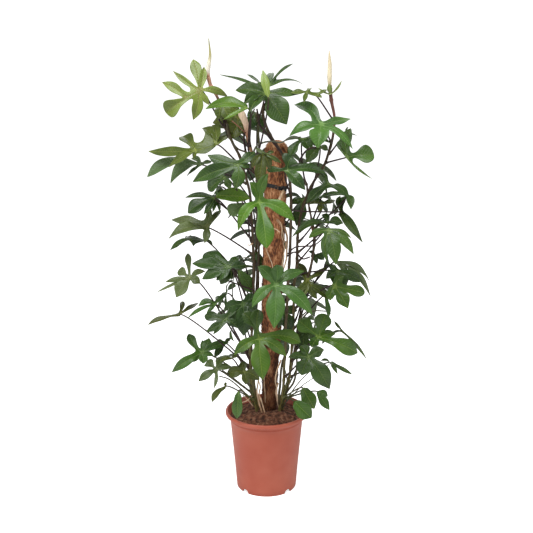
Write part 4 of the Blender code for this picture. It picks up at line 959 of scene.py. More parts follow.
# ---------------------------------------------------------------- leaves
# Leathery glossy blades cut into lobes that end in a drip tip, joined by a web round the
# hub. A pale midrib and fine side veins are pressed into the top of each lobe, and the
# underside is paler and dull. No two leaves are lobed alike.
#
# A lobe: its shape, 0 if it leaves the hub or 1 the fork of the midrib, its tip from the
# hub, half width, how far it arches, and how far a side lobe bends back from the end
# lobe. The first lobe of a leaf carries the midrib.
# name: vine, height on it, hub, where the top looks, tone, reach of the web, lobes
LEAVES = {
    "leaf_01": ("vine_left_tall", 1.080, (-0.180, -0.035, 1.190), (0.1, -1, 0.3), "young", 0.07, [
        ("spoon", 0, (-0.095, 0.0, -0.060), 0.025), ("egg", 1, (-0.105, 0.020, 0.020), 0.014, 0.1, 0.14),
        ("egg", 0, (-0.020, -0.005, -0.080), 0.016, 0.1, 0.05),
        ("egg", 0, (-0.075, 0.030, 0.050), 0.009, 0.1, -0.08),
        ("spoon", 0, (-0.020, 0.045, 0.080), 0.016, 0.1, 0),
        ("egg", 0, (0.010, 0.040, 0.060), 0.011, 0.1, 0), ("egg", 0, (0.025, 0.0, -0.040), 0.009, 0.1, 0),
        ("egg", 0, (0.075, 0.045, -0.025), 0.011, 0.5)]),
    "leaf_02": ("vine_left_inner", 1.040, (-0.050, -0.120, 1.155), (0.0, -0.6, 1), "bright", 0.23, [
        ("egg", 0, (-0.115, 0.040, -0.010), 0.024), ("egg", 0, (-0.065, -0.020, -0.030), 0.009)]),
    "leaf_03": ("vine_crown", 1.140, (0.0, -0.055, 1.185), (0.0, -0.8, 0.6), "dark", 0.34, [
        ("egg", 0, (0.055, -0.035, -0.080), 0.034, 0.1), ("egg", 0, (-0.045, -0.075, -0.040), 0.017, 0.1),
        ("egg", 0, (-0.085, 0.025, 0.005), 0.021, 0.15, 0), ("egg", 0, (-0.060, -0.045, -0.025), 0.016),
        ("egg", 0, (0.090, 0.020, -0.005), 0.015, 0.15, 0), ("egg", 0, (-0.025, 0.030, 0.025), 0.014)]),
    "leaf_04": ("vine_right_tall", 1.102, (0.135, -0.030, 1.175), (0.0, -0.5, 1), "olive", 0.12, [
        ("egg", 0, (-0.070, -0.020, 0.010), 0.011), ("egg", 1, (-0.035, -0.030, -0.015), 0.007),
        ("egg", 0, (0.030, 0.020, 0.015), 0.007), ("egg", 0, (0.015, -0.005, -0.005), 0.006),
        ("egg", 1, (-0.020, 0.060, 0.010), 0.007)]),
    "leaf_05": ("vine_right_tall", 1.040, (0.145, -0.090, 1.105), (0.0, -0.6, 0.8), "mid", 0.34, [
        ("egg", 0, (-0.010, -0.050, -0.055), 0.028), ("egg", 0, (-0.070, 0.100, 0.040), 0.019, 0.25, 0.1),
        ("egg", 0, (0.085, 0.045, 0.010), 0.016, 0.05, 0),
        ("egg", 0, (0.085, -0.040, -0.060), 0.014, 0.25, 0.1),
        ("egg", 0, (-0.085, -0.010, -0.030), 0.019, 0.3, 0.1)]),
    "leaf_06": ("vine_right_tall", 0.985, (0.220, -0.050, 1.010), (-0.3, -0.8, 0.5), "mid", 0.26, [
        ("paddle", 0, (0.075, -0.005, 0.005), 0.027), ("egg", 0, (0.015, 0.065, 0.070), 0.017),
        ("spoon", 0, (-0.015, 0.050, 0.040), 0.012), ("egg", 0, (0.070, -0.035, -0.055), 0.004)]),
    "leaf_07": ("vine_left_tall", 0.985, (-0.135, -0.050, 1.045), (-0.2, -0.7, 0.8), "olive", 0.22, [
        ("egg", 0, (-0.135, 0.010, -0.065), 0.018), ("egg", 1, (-0.200, 0.095, -0.035), 0.017, 0, -0.08),
        ("spoon", 1, (-0.100, 0.080, 0.010), 0.020, 0.1, 0), ("egg", 0, (-0.045, 0.065, 0.035), 0.014),
        ("egg", 0, (-0.015, 0.060, 0.045), 0.015), ("egg", 0, (0.030, 0.050, 0.020), 0.012, 0.1, 0),
        ("egg", 1, (-0.065, -0.005, -0.040), 0.007)]),
    "leaf_08": ("vine_left_tall", 0.930, (-0.185, 0.030, 0.975), (0.0, -0.6, 0.8), "grey", 0.23, [
        ("spoon", 0, (-0.155, 0.010, -0.040), 0.023, 0.4),
        ("egg", 0, (-0.085, -0.030, -0.050), 0.020, 0.5, -0.1),
        ("egg", 0, (-0.040, -0.020, -0.030), 0.006), ("egg", 0, (-0.030, 0.035, 0.010), 0.009),
        ("egg", 0, (0.030, 0.025, 0.005), 0.008)]),
    "leaf_09": ("vine_left_inner", 0.960, (-0.075, -0.130, 1.005), (0.0, -1, 0.5), "dark", 0.26, [
        ("egg", 0, (-0.125, 0.010, -0.050), 0.022, 0.1),
        ("egg", 0, (-0.085, 0.035, 0.020), 0.017, 0.05, -0.08),
        ("egg", 0, (-0.010, -0.015, -0.065), 0.019), ("egg", 0, (0.045, 0.030, 0.030), 0.015),
        ("egg", 0, (0.030, 0.005, -0.010), 0.010)]),
    "leaf_10": ("vine_left_back", 1.100, (0.0, 0.020, 1.190), (0.0, -0.4, 1), "dark", 0.23, [
        ("egg", 0, (0.015, 0.110, 0.030), 0.011), ("egg", 0, (0.075, 0.010, 0.065), 0.007, 0.38),
        ("egg", 0, (0.100, 0.0, 0.010), 0.007, 0.5), ("egg", 0, (-0.130, -0.020, 0.040), 0.008, 0.02, 0),
        ("egg", 0, (-0.055, -0.020, 0.040), 0.012, 0.1, 0)]),
    "leaf_11": ("vine_crown", 0.900, (0.055, -0.110, 0.985), (0.0, -0.75, 0.65), "dark", 0.34, [
        ("egg", 0, (0.110, 0.025, -0.015), 0.015, 0.32), ("egg", 0, (0.050, -0.020, -0.050), 0.019, 0.45),
        ("paddle", 0, (0.015, 0.010, 0.035), 0.024), ("spoon", 0, (-0.055, 0.015, 0.0), 0.011)]),
    "leaf_12": ("vine_left_inner", 0.800, (-0.020, -0.185, 0.915), (0.0, -0.7, 0.7), "bright", 0.20, [
        ("spoon", 0, (0.020, -0.070, -0.110), 0.025), ("egg", 0, (-0.055, -0.040, -0.070), 0.016, 0.5),
        ("egg", 0, (0.095, -0.015, -0.050), 0.019, 0.22), ("egg", 0, (-0.025, -0.005, 0.055), 0.016),
        ("egg", 0, (0.025, -0.015, 0.080), 0.014)]),
    "leaf_13": ("vine_left_tall", 0.770, (-0.145, -0.020, 0.890), (0.0, -0.6, 0.8), "dark", 0.23, [
        ("spoon", 0, (-0.075, -0.020, -0.040), 0.024), ("egg", 0, (-0.085, 0.025, -0.005), 0.011, 0.1, 0),
        ("egg", 0, (-0.030, -0.035, -0.040), 0.011), ("egg", 0, (-0.005, -0.035, -0.035), 0.006),
        ("egg", 0, (0.015, -0.030, -0.035), 0.006), ("egg", 0, (0.025, 0.035, 0.015), 0.009)]),
    "leaf_14": ("vine_left_tall", 0.725, (-0.170, 0.0, 0.800), (0.0, -0.7, 0.8), "grey", 0.30, [
        ("egg", 0, (-0.110, 0.0, -0.035), 0.018, 0.5), ("egg", 0, (-0.105, 0.050, 0.010), 0.018, 0.15, 0),
        ("egg", 0, (-0.005, -0.030, -0.040), 0.012), ("egg", 0, (0.040, 0.065, 0.035), 0.009),
        ("egg", 0, (0.0, 0.065, 0.045), 0.009)]),
    "leaf_15": ("vine_left_back", 0.600, (-0.180, 0.050, 0.750), (0.0, -0.4, 1), "dark", 0.23, [
        ("egg", 0, (-0.100, -0.010, -0.030), 0.014, 0.4), ("egg", 1, (-0.030, -0.020, -0.015), 0.007),
        ("egg", 1, (-0.060, 0.050, -0.010), 0.007), ("egg", 0, (0.025, -0.015, -0.010), 0.006)]),
    "leaf_16": ("vine_left_tall", 0.505, (-0.105, -0.090, 0.710), (0.0, -0.7, 0.7), "dark", 0.34, [
        ("egg", 0, (-0.105, 0.030, 0.0), 0.020, 0.1, 0),
        ("paddle", 0, (-0.070, 0.055, 0.025), 0.026, 0.1, 0),
        ("egg", 0, (-0.075, -0.010, -0.035), 0.020, 0.1, 0), ("egg", 0, (-0.035, -0.020, -0.035), 0.017),
        ("egg", 0, (0.050, 0.015, 0.0), 0.012), ("egg", 0, (0.025, 0.035, 0.020), 0.012)]),
    "leaf_17": ("vine_left_back", 0.400, (-0.220, 0.0, 0.650), (-0.2, -0.8, 0.6), "grey", 0.24, [
        ("egg", 0, (-0.040, -0.015, -0.055), 0.022), ("egg", 0, (-0.075, 0.025, -0.020), 0.009, 0.1, 0),
        ("egg", 0, (-0.100, 0.015, -0.050), 0.005, 0.1, 0),
        ("paddle", 0, (-0.035, 0.035, 0.015), 0.014, 0.1, 0),
        ("spoon", 0, (-0.010, 0.070, 0.055), 0.010, 0.1, 0), ("egg", 0, (0.030, -0.010, -0.015), 0.013),
        ("egg", 0, (0.045, 0.015, 0.015), 0.010)]),
    "leaf_18": ("vine_left_tall", 0.390, (-0.250, 0.0, 0.540), (0.0, -0.45, 1), "olive", 0.12, [
        ("spoon", 0, (-0.095, -0.010, -0.030), 0.011, 0.05), ("egg", 0, (0.0, 0.060, 0.020), 0.008),
        ("egg", 0, (0.050, 0.060, 0.015), 0.009)]),
    "leaf_19": ("vine_left_inner", 0.385, (-0.145, -0.060, 0.590), (0.0, -0.45, 1), "mid", 0.23, [
        ("egg", 0, (-0.080, -0.025, -0.035), 0.009), ("egg", 0, (-0.050, 0.010, -0.010), 0.013),
        ("egg", 0, (-0.025, -0.020, -0.020), 0.007), ("egg", 0, (0.0, 0.060, 0.005), 0.007),
        ("egg", 0, (0.030, 0.030, 0.025), 0.007)]),
    "leaf_20": ("vine_left_tall", 0.415, (-0.115, -0.120, 0.565), (0.0, -0.8, 0.6), "dark", 0.40, [
        ("spoon", 0, (-0.060, 0.020, 0.005), 0.017), ("egg", 0, (-0.055, -0.005, -0.035), 0.012),
        ("egg", 0, (-0.035, -0.015, -0.040), 0.007), ("egg", 0, (0.030, 0.045, 0.035), 0.013),
        ("egg", 0, (0.035, -0.005, -0.025), 0.011)]),
    "leaf_21": ("vine_left_back", 0.325, (-0.190, 0.0, 0.420), (0.0, -0.9, 0.5), "mid", 0.34, [
        ("egg", 0, (-0.090, -0.005, -0.060), 0.015, 0.62),
        ("spoon", 0, (-0.040, 0.045, 0.045), 0.014, 0.1, -0.1), ("egg", 0, (0.0, 0.030, 0.030), 0.009),
        ("egg", 0, (0.020, 0.035, 0.035), 0.017), ("egg", 0, (0.080, 0.035, 0.020), 0.012),
        ("egg", 0, (0.035, 0.005, -0.010), 0.008), ("egg", 0, (0.005, -0.010, -0.030), 0.014),
        ("egg", 0, (-0.035, -0.005, -0.025), 0.010)]),
    "leaf_22": ("vine_left_tall", 0.310, (-0.145, -0.080, 0.400), (0.0, -0.6, 0.8), "grey", 0.22, [
        ("egg", 0, (-0.050, -0.020, -0.030), 0.013), ("paddle", 0, (-0.030, 0.025, 0.010), 0.016),
        ("egg", 0, (-0.005, -0.040, -0.045), 0.006), ("egg", 0, (0.045, 0.015, 0.0), 0.011),
        ("egg", 0, (0.015, 0.040, 0.020), 0.010)]),
    "leaf_23": ("vine_left_tall", 0.540, (-0.065, -0.100, 0.605), (0.0, -1, 0.3), "dark", 0.36, [
        ("egg", 0, (0.0, -0.005, -0.095), 0.024), ("egg", 0, (-0.055, 0.005, -0.020), 0.018),
        ("egg", 0, (0.040, 0.015, 0.015), 0.018), ("egg", 0, (0.035, 0.0, -0.025), 0.017),
        ("egg", 0, (-0.040, 0.0, -0.070), 0.017)]),
    "leaf_24": ("vine_left_tall", 0.285, (-0.080, -0.110, 0.345), (0.0, -1, 0.2), "mid", 0.23, [
        ("egg", 0, (-0.005, 0.0, -0.085), 0.016)]),
    "leaf_25": ("vine_left_tall", 0.300, (-0.065, -0.070, 0.390), (0.0, -0.8, 0.6), "olive", 0.34, [
        ("egg", 0, (-0.050, 0.005, -0.010), 0.018), ("egg", 0, (0.045, -0.005, -0.025), 0.015),
        ("egg", 0, (-0.010, 0.025, 0.020), 0.013), ("egg", 0, (0.005, -0.015, -0.035), 0.012)]),
    "leaf_26": ("vine_crown", 0.560, (0.025, -0.180, 0.685), (0.0, -0.8, 0.6), "mid", 0.16, [
        ("egg", 0, (-0.005, -0.050, -0.110), 0.027), ("egg", 0, (-0.065, -0.020, -0.060), 0.016, 0.35),
        ("egg", 0, (0.100, -0.025, -0.080), 0.020, 0.35), ("egg", 0, (0.080, 0.045, 0.025), 0.016),
        ("egg", 0, (-0.050, 0.005, 0.050), 0.018), ("spoon", 0, (0.0, 0.005, 0.055), 0.018)]),
    "leaf_27": ("vine_left_inner", 0.560, (-0.080, -0.010, 0.675), (0.2, -1, 0.3), "mid", 0.23, [
        ("egg", 0, (0.045, 0.005, -0.070), 0.021), ("egg", 0, (0.020, 0.0, -0.065), 0.011)]),
    "leaf_28": ("vine_left_inner", 0.400, (-0.020, -0.180, 0.530), (0.0, -0.8, 0.6), "bright", 0.24, [
        ("egg", 0, (0.010, -0.045, -0.105), 0.028), ("egg", 0, (-0.070, -0.010, -0.045), 0.016, 0.35),
        ("egg", 0, (0.075, -0.010, -0.050), 0.017), ("spoon", 0, (0.115, 0.020, -0.020), 0.020),
        ("paddle", 0, (-0.045, 0.0, 0.075), 0.017), ("paddle", 0, (0.0, 0.0, 0.085), 0.018)]),
    "leaf_29": ("vine_right_tall", 0.700, (0.170, -0.090, 0.815), (0.0, -0.8, 0.6), "mid", 0.34, [
        ("egg", 0, (0.020, -0.040, -0.090), 0.022), ("egg", 0, (-0.005, -0.035, -0.080), 0.012),
        ("egg", 0, (0.070, -0.025, -0.065), 0.015, 0.18), ("egg", 0, (0.065, 0.0, -0.025), 0.007),
        ("egg", 0, (-0.055, 0.0, -0.025), 0.011)]),
    "leaf_30": ("vine_right_tall", 0.790, (0.210, 0.020, 0.840), (-0.4, -0.5, 0.8), "dark", 0.23, [
        ("egg", 0, (0.065, -0.030, -0.085), 0.014, 0.5), ("egg", 0, (0.0, 0.010, 0.045), 0.009),
        ("egg", 0, (0.020, 0.010, 0.045), 0.014)]),
    "leaf_31": ("vine_right_outer", 0.880, (0.170, -0.030, 0.930), (0.0, -0.5, 0.9), "dark", 0.30, [
        ("egg", 0, (-0.060, -0.040, -0.045), 0.017, 0.05),
        ("egg", 0, (0.060, -0.030, -0.035), 0.018, 0.35, 0.05), ("egg", 0, (-0.025, 0.050, 0.030), 0.009),
        ("egg", 0, (0.045, -0.020, -0.025), 0.006)]),
    "leaf_32": ("vine_right_outer", 0.600, (0.200, 0.030, 0.690), (0.3, -0.5, 0.9), "grey", 0.23, [
        ("egg", 0, (0.100, -0.045, -0.095), 0.014, 0.25),
        ("egg", 0, (0.100, 0.0, -0.060), 0.015, 0.25, 0.05), ("egg", 0, (0.035, -0.040, -0.050), 0.013)]),
    "leaf_33": ("vine_right_tall", 0.560, (0.190, -0.060, 0.645), (0.0, -0.8, 0.6), "bright", 0.52, [
        ("egg", 0, (0.040, -0.025, -0.060), 0.021, 0.1),
        ("paddle", 0, (0.090, 0.010, -0.025), 0.017, 0.05, -0.05),
        ("egg", 0, (-0.010, -0.015, -0.040), 0.015), ("egg", 0, (0.030, 0.030, 0.020), 0.014)]),
    "leaf_34": ("vine_right_tall", 0.400, (0.150, -0.045, 0.485), (0.0, -0.9, 0.5), "bright", 0.42, [
        ("spoon", 0, (0.115, 0.005, -0.050), 0.024, 0.58),
        ("paddle", 0, (-0.060, 0.005, 0.050), 0.024, 0.1, 0),
        ("paddle", 0, (0.020, 0.005, 0.070), 0.024, 0.1, 0), ("egg", 0, (-0.020, -0.005, -0.030), 0.015),
        ("egg", 0, (0.050, 0.015, 0.005), 0.013)]),
    "leaf_35": ("vine_crown", 0.360, (0.120, -0.100, 0.445), (0.0, -0.9, 0.5), "dark", 0.42, [
        ("egg", 0, (0.060, -0.020, -0.090), 0.028), ("egg", 0, (0.045, 0.020, 0.015), 0.017),
        ("egg", 0, (-0.020, -0.015, -0.050), 0.024), ("egg", 0, (-0.060, 0.010, -0.005), 0.011),
        ("egg", 0, (-0.025, 0.025, 0.025), 0.015)]),
    "leaf_36": ("vine_crown", 0.290, (0.105, -0.060, 0.335), (0.0, -0.9, 0.5), "bright", 0.23, [
        ("egg", 0, (0.035, -0.015, -0.060), 0.023)]),
    "leaf_37": ("vine_right_tall", 0.280, (0.080, -0.100, 0.310), (0.0, -0.9, 0.4), "bright", 0.23, [
        ("egg", 0, (0.050, -0.005, -0.050), 0.024)]),
    "bud_leaf": ("vine_right_tall", 1.190, (0.175, -0.010, 1.175), (0.0, -1, 0.4), "bud", 0.10, [
        ("egg", 0, (-0.005, 0.0, 0.030), 0.008), ("egg", 0, (-0.035, 0.0, 0.020), 0.003),
        ("egg", 0, (0.030, 0.0, 0.040), 0.003, 0.3)]),
    "spike_leaf": ("vine_left_inner", 0.990, (0.005, -0.100, 1.180), (0.1, -1, 0.1), "bud", 0.23, [
        ("egg", 0, (-0.015, 0.025, 0.070), 0.012)]),
    "shade_leaf_01": ("vine_left_inner", 0.960, (-0.075, 0.0, 1.115), (0.0, -1, 0.4), "olive", 0.40, [
        ("egg", 0, (-0.075, 0.010, -0.020), 0.024), ("egg", 0, (-0.030, -0.010, -0.060), 0.024),
        ("egg", 0, (0.015, -0.010, -0.055), 0.017), ("egg", 0, (-0.070, 0.025, 0.010), 0.017)]),
    "shade_leaf_02": ("vine_right_outer", 0.930, (0.100, -0.020, 1.055), (0.0, -0.7, 0.8), "dark", 0.23, [
        ("egg", 0, (0.020, -0.020, -0.030), 0.018), ("egg", 0, (-0.055, 0.010, -0.010), 0.007),
        ("spoon", 0, (-0.035, -0.030, -0.045), 0.015), ("egg", 0, (0.080, 0.010, -0.015), 0.010)]),
    "shade_leaf_03": ("vine_right_outer", 0.900, (0.145, -0.030, 1.035), (0.0, -0.7, 0.7), "dark", 0.23, [
        ("egg", 0, (-0.035, -0.020, -0.040), 0.018), ("egg", 0, (0.025, 0.0, -0.010), 0.010),
        ("egg", 0, (-0.020, 0.015, 0.010), 0.009)]),
    "shade_leaf_04": ("vine_left_inner", 0.790, (-0.140, -0.050, 0.900), (0.0, -0.9, 0.6), "bright", 0.23, [
        ("egg", 0, (0.095, 0.020, -0.010), 0.022)]),
    "shade_leaf_05": ("vine_right_tall", 0.730, (0.170, -0.050, 0.825), (0.0, -0.6, 0.8), "dark", 0.23, [
        ("egg", 0, (-0.100, -0.010, -0.040), 0.011, 0.5), ("egg", 0, (0.045, 0.010, -0.005), 0.017),
        ("egg", 0, (-0.065, 0.030, -0.020), 0.009), ("egg", 0, (-0.015, 0.035, 0.015), 0.011)]),
    "shade_leaf_06": ("vine_right_tall", 0.660, (0.205, -0.010, 0.675), (0.0, -0.9, 0.5), "dark", 0.40, [
        ("egg", 0, (0.070, 0.0, -0.035), 0.017), ("egg", 0, (-0.035, 0.0, -0.025), 0.013),
        ("egg", 0, (0.020, -0.015, -0.050), 0.020), ("egg", 0, (-0.015, -0.010, -0.035), 0.014),
        ("egg", 0, (-0.025, 0.015, 0.015), 0.010)]),
    "shade_leaf_07": ("vine_left_tall", 0.380, (-0.125, 0.040, 0.435), (0.0, -0.8, 0.6), "dark", 0.23, [
        ("egg", 0, (-0.030, -0.015, -0.040), 0.011), ("egg", 0, (-0.025, 0.010, 0.0), 0.009),
        ("egg", 0, (0.020, 0.015, 0.010), 0.006)]),
    "shade_leaf_08": ("vine_left_inner", 0.270, (-0.120, -0.050, 0.335), (-0.3, -0.8, 0.5), "olive", 0.23, [
        ("egg", 0, (-0.040, 0.0, -0.050), 0.010, 0.4), ("egg", 0, (0.0, 0.010, 0.010), 0.005)]),
    "shade_leaf_09": ("vine_right_outer", 0.270, (0.150, -0.030, 0.310), (0.0, -0.8, 0.6), "mid", 0.23, [
        ("egg", 0, (0.035, -0.020, -0.050), 0.014), ("egg", 0, (0.030, 0.0, -0.015), 0.011)]),
    "shade_leaf_10": ("vine_right_outer", 0.410, (0.225, 0.050, 0.470), (0.0, -0.5, 0.9), "mid", 0.23, [
        ("egg", 0, (0.075, -0.020, -0.085), 0.006, 0.15),
        ("egg", 0, (-0.025, 0.010, 0.030), 0.005, 0.05, 0), ("egg", 0, (-0.035, 0.0, -0.010), 0.005)]),
    "shade_leaf_11": ("vine_right_outer", 0.340, (0.190, 0.030, 0.380), (0.0, -0.4, 0.9), "mid", 0.23, [
        ("egg", 0, (0.065, -0.025, -0.030), 0.008, 0.05), ("egg", 0, (0.020, -0.035, -0.025), 0.007),
        ("egg", 0, (-0.030, 0.010, 0.0), 0.006)]),
    "shade_leaf_12": ("vine_right_tall", 0.500, (0.170, 0.0, 0.595), (0.3, -0.8, 0.5), "mid", 0.23, [
        ("egg", 0, (0.010, -0.015, -0.065), 0.009)]),
    "shade_leaf_13": ("vine_right_tall", 0.560, (0.115, -0.020, 0.650), (0.0, -0.7, 0.7), "olive", 0.23, [
        ("egg", 0, (-0.030, 0.060, 0.035), 0.015), ("egg", 0, (0.060, 0.050, 0.025), 0.009),
        ("egg", 0, (-0.020, -0.025, -0.045), 0.016), ("egg", 0, (0.015, -0.020, -0.030), 0.010)]),
    "shade_leaf_14": ("vine_right_outer", 0.640, (0.140, 0.0, 0.720), (0.0, -0.7, 0.7), "dark", 0.23, [
        ("egg", 0, (0.025, -0.005, -0.015), 0.011), ("egg", 0, (0.005, -0.015, -0.025), 0.007),
        ("egg", 0, (-0.020, 0.010, 0.005), 0.006)]),
    "shade_leaf_15": ("vine_back", 0.790, (0.105, 0.050, 0.870), (0.0, -0.9, 0.5), "dark", 0.23, [
        ("egg", 0, (-0.020, -0.020, -0.075), 0.020), ("egg", 0, (0.060, 0.005, -0.015), 0.010),
        ("egg", 0, (-0.035, 0.0, -0.015), 0.011)]),
    "shade_leaf_16": ("vine_left_tall", 0.860, (-0.115, -0.060, 0.955), (-0.3, -0.8, 0.5), "dark", 0.23, [
        ("spoon", 0, (-0.045, 0.010, -0.040), 0.017), ("egg", 0, (-0.030, 0.025, 0.0), 0.010),
        ("egg", 0, (0.015, -0.015, -0.030), 0.011)]),
    "shade_leaf_17": ("vine_left_tall", 0.760, (-0.060, -0.030, 0.875), (0.0, -0.8, 0.6), "grey", 0.23, [
        ("spoon", 0, (-0.045, -0.005, -0.030), 0.021), ("egg", 0, (-0.005, -0.015, -0.030), 0.010)]),
    "shade_leaf_18": ("vine_left_inner", 0.940, (-0.010, -0.130, 1.035), (0.0, -1, 0.3), "olive", 0.23, [
        ("egg", 0, (-0.010, -0.005, -0.085), 0.016), ("egg", 0, (0.020, 0.0, -0.045), 0.012),
        ("egg", 0, (-0.030, 0.0, -0.040), 0.010)]),
    "shade_leaf_19": ("vine_right_outer", 0.800, (0.225, 0.0, 0.895), (0.0, -0.5, 0.9), "mid", 0.23, [
        ("egg", 0, (-0.085, -0.020, -0.010), 0.011, 0.25), ("egg", 0, (0.010, -0.040, -0.035), 0.012)]),
    "shade_leaf_20": ("vine_right_tall", 0.520, (0.120, -0.030, 0.640), (0.0, -0.8, 0.6), "olive", 0.23, [
        ("egg", 0, (0.065, -0.010, -0.045), 0.013), ("egg", 0, (0.025, -0.015, -0.040), 0.011),
        ("egg", 0, (-0.035, -0.010, -0.030), 0.010)]),
    "shade_leaf_21": ("vine_right_outer", 0.430, (0.115, 0.010, 0.485), (0.0, -0.9, 0.5), "dark", 0.23, [
        ("spoon", 0, (-0.010, -0.015, -0.050), 0.023), ("egg", 0, (0.025, -0.005, -0.025), 0.014),
        ("egg", 0, (-0.030, 0.0, -0.020), 0.012)]),
    "shade_leaf_22": ("vine_back", 0.440, (0.050, -0.010, 0.555), (0.0, -0.9, 0.4), "dark", 0.36, [
        ("egg", 0, (0.020, -0.010, -0.060), 0.021), ("egg", 0, (-0.020, -0.010, -0.055), 0.016),
        ("egg", 0, (0.040, 0.010, -0.005), 0.014)]),
    "shade_leaf_23": ("vine_left_back", 0.960, (-0.030, 0.060, 1.115), (0.0, -0.9, 0.5), "dark", 0.40, [
        ("egg", 0, (-0.020, -0.010, -0.045), 0.018), ("egg", 0, (0.020, -0.010, -0.040), 0.015),
        ("egg", 0, (-0.025, 0.005, -0.010), 0.011)]),
    "shade_leaf_24": ("vine_left_back", 0.560, (-0.025, 0.020, 0.720), (0.0, -0.9, 0.4), "dark", 0.23, [
        ("egg", 0, (0.010, -0.005, -0.040), 0.011), ("egg", 0, (-0.015, -0.005, -0.025), 0.010)]),
    "shade_leaf_25": ("vine_right_tall", 1.010, (0.220, 0.030, 1.060), (0.0, -0.3, 1), "dark", 0.23, [
        ("egg", 0, (0.035, 0.0, -0.005), 0.005), ("egg", 0, (-0.025, 0.020, 0.010), 0.005),
        ("egg", 0, (0.010, 0.010, 0.020), 0.003), ("egg", 0, (0.025, 0.010, 0.010), 0.003)]),
    "shade_leaf_26": ("vine_right_tall", 0.760, (0.155, -0.010, 0.870), (0.0, -0.5, 0.9), "olive", 0.23, [
        ("egg", 0, (-0.060, 0.015, -0.005), 0.009), ("egg", 0, (0.040, 0.030, 0.005), 0.009),
        ("egg", 0, (-0.010, -0.025, -0.020), 0.009)]),
    "shade_leaf_27": ("vine_left_inner", 1.010, (0.0, -0.140, 1.035), (0.0, -1, 0.3), "olive", 0.23, [
        ("egg", 0, (0.040, 0.005, -0.025), 0.006), ("egg", 0, (-0.030, 0.015, 0.015), 0.006),
        ("egg", 0, (0.020, 0.005, 0.005), 0.005)]),
    "shade_leaf_28": ("vine_left_tall", 0.560, (-0.100, -0.060, 0.695), (0.0, -0.9, 0.4), "dark", 0.40, [
        ("egg", 0, (-0.030, -0.005, -0.045), 0.018), ("egg", 0, (0.0, -0.005, -0.030), 0.014)]),
    "shade_leaf_29": ("vine_left_tall", 0.330, (-0.100, -0.070, 0.430), (0.0, -0.6, 0.8), "olive", 0.23, [
        ("egg", 0, (-0.035, 0.0, -0.010), 0.008, 0.5), ("egg", 0, (0.015, 0.015, 0.005), 0.007)]),
    "shade_leaf_30": ("vine_left_tall", 1.060, (-0.120, -0.020, 1.150), (0.0, -0.9, 0.4), "olive", 0.23, [
        ("egg", 0, (0.025, -0.010, -0.045), 0.017), ("egg", 0, (-0.010, -0.010, -0.040), 0.014),
        ("egg", 0, (0.050, 0.0, -0.025), 0.014)]),
}
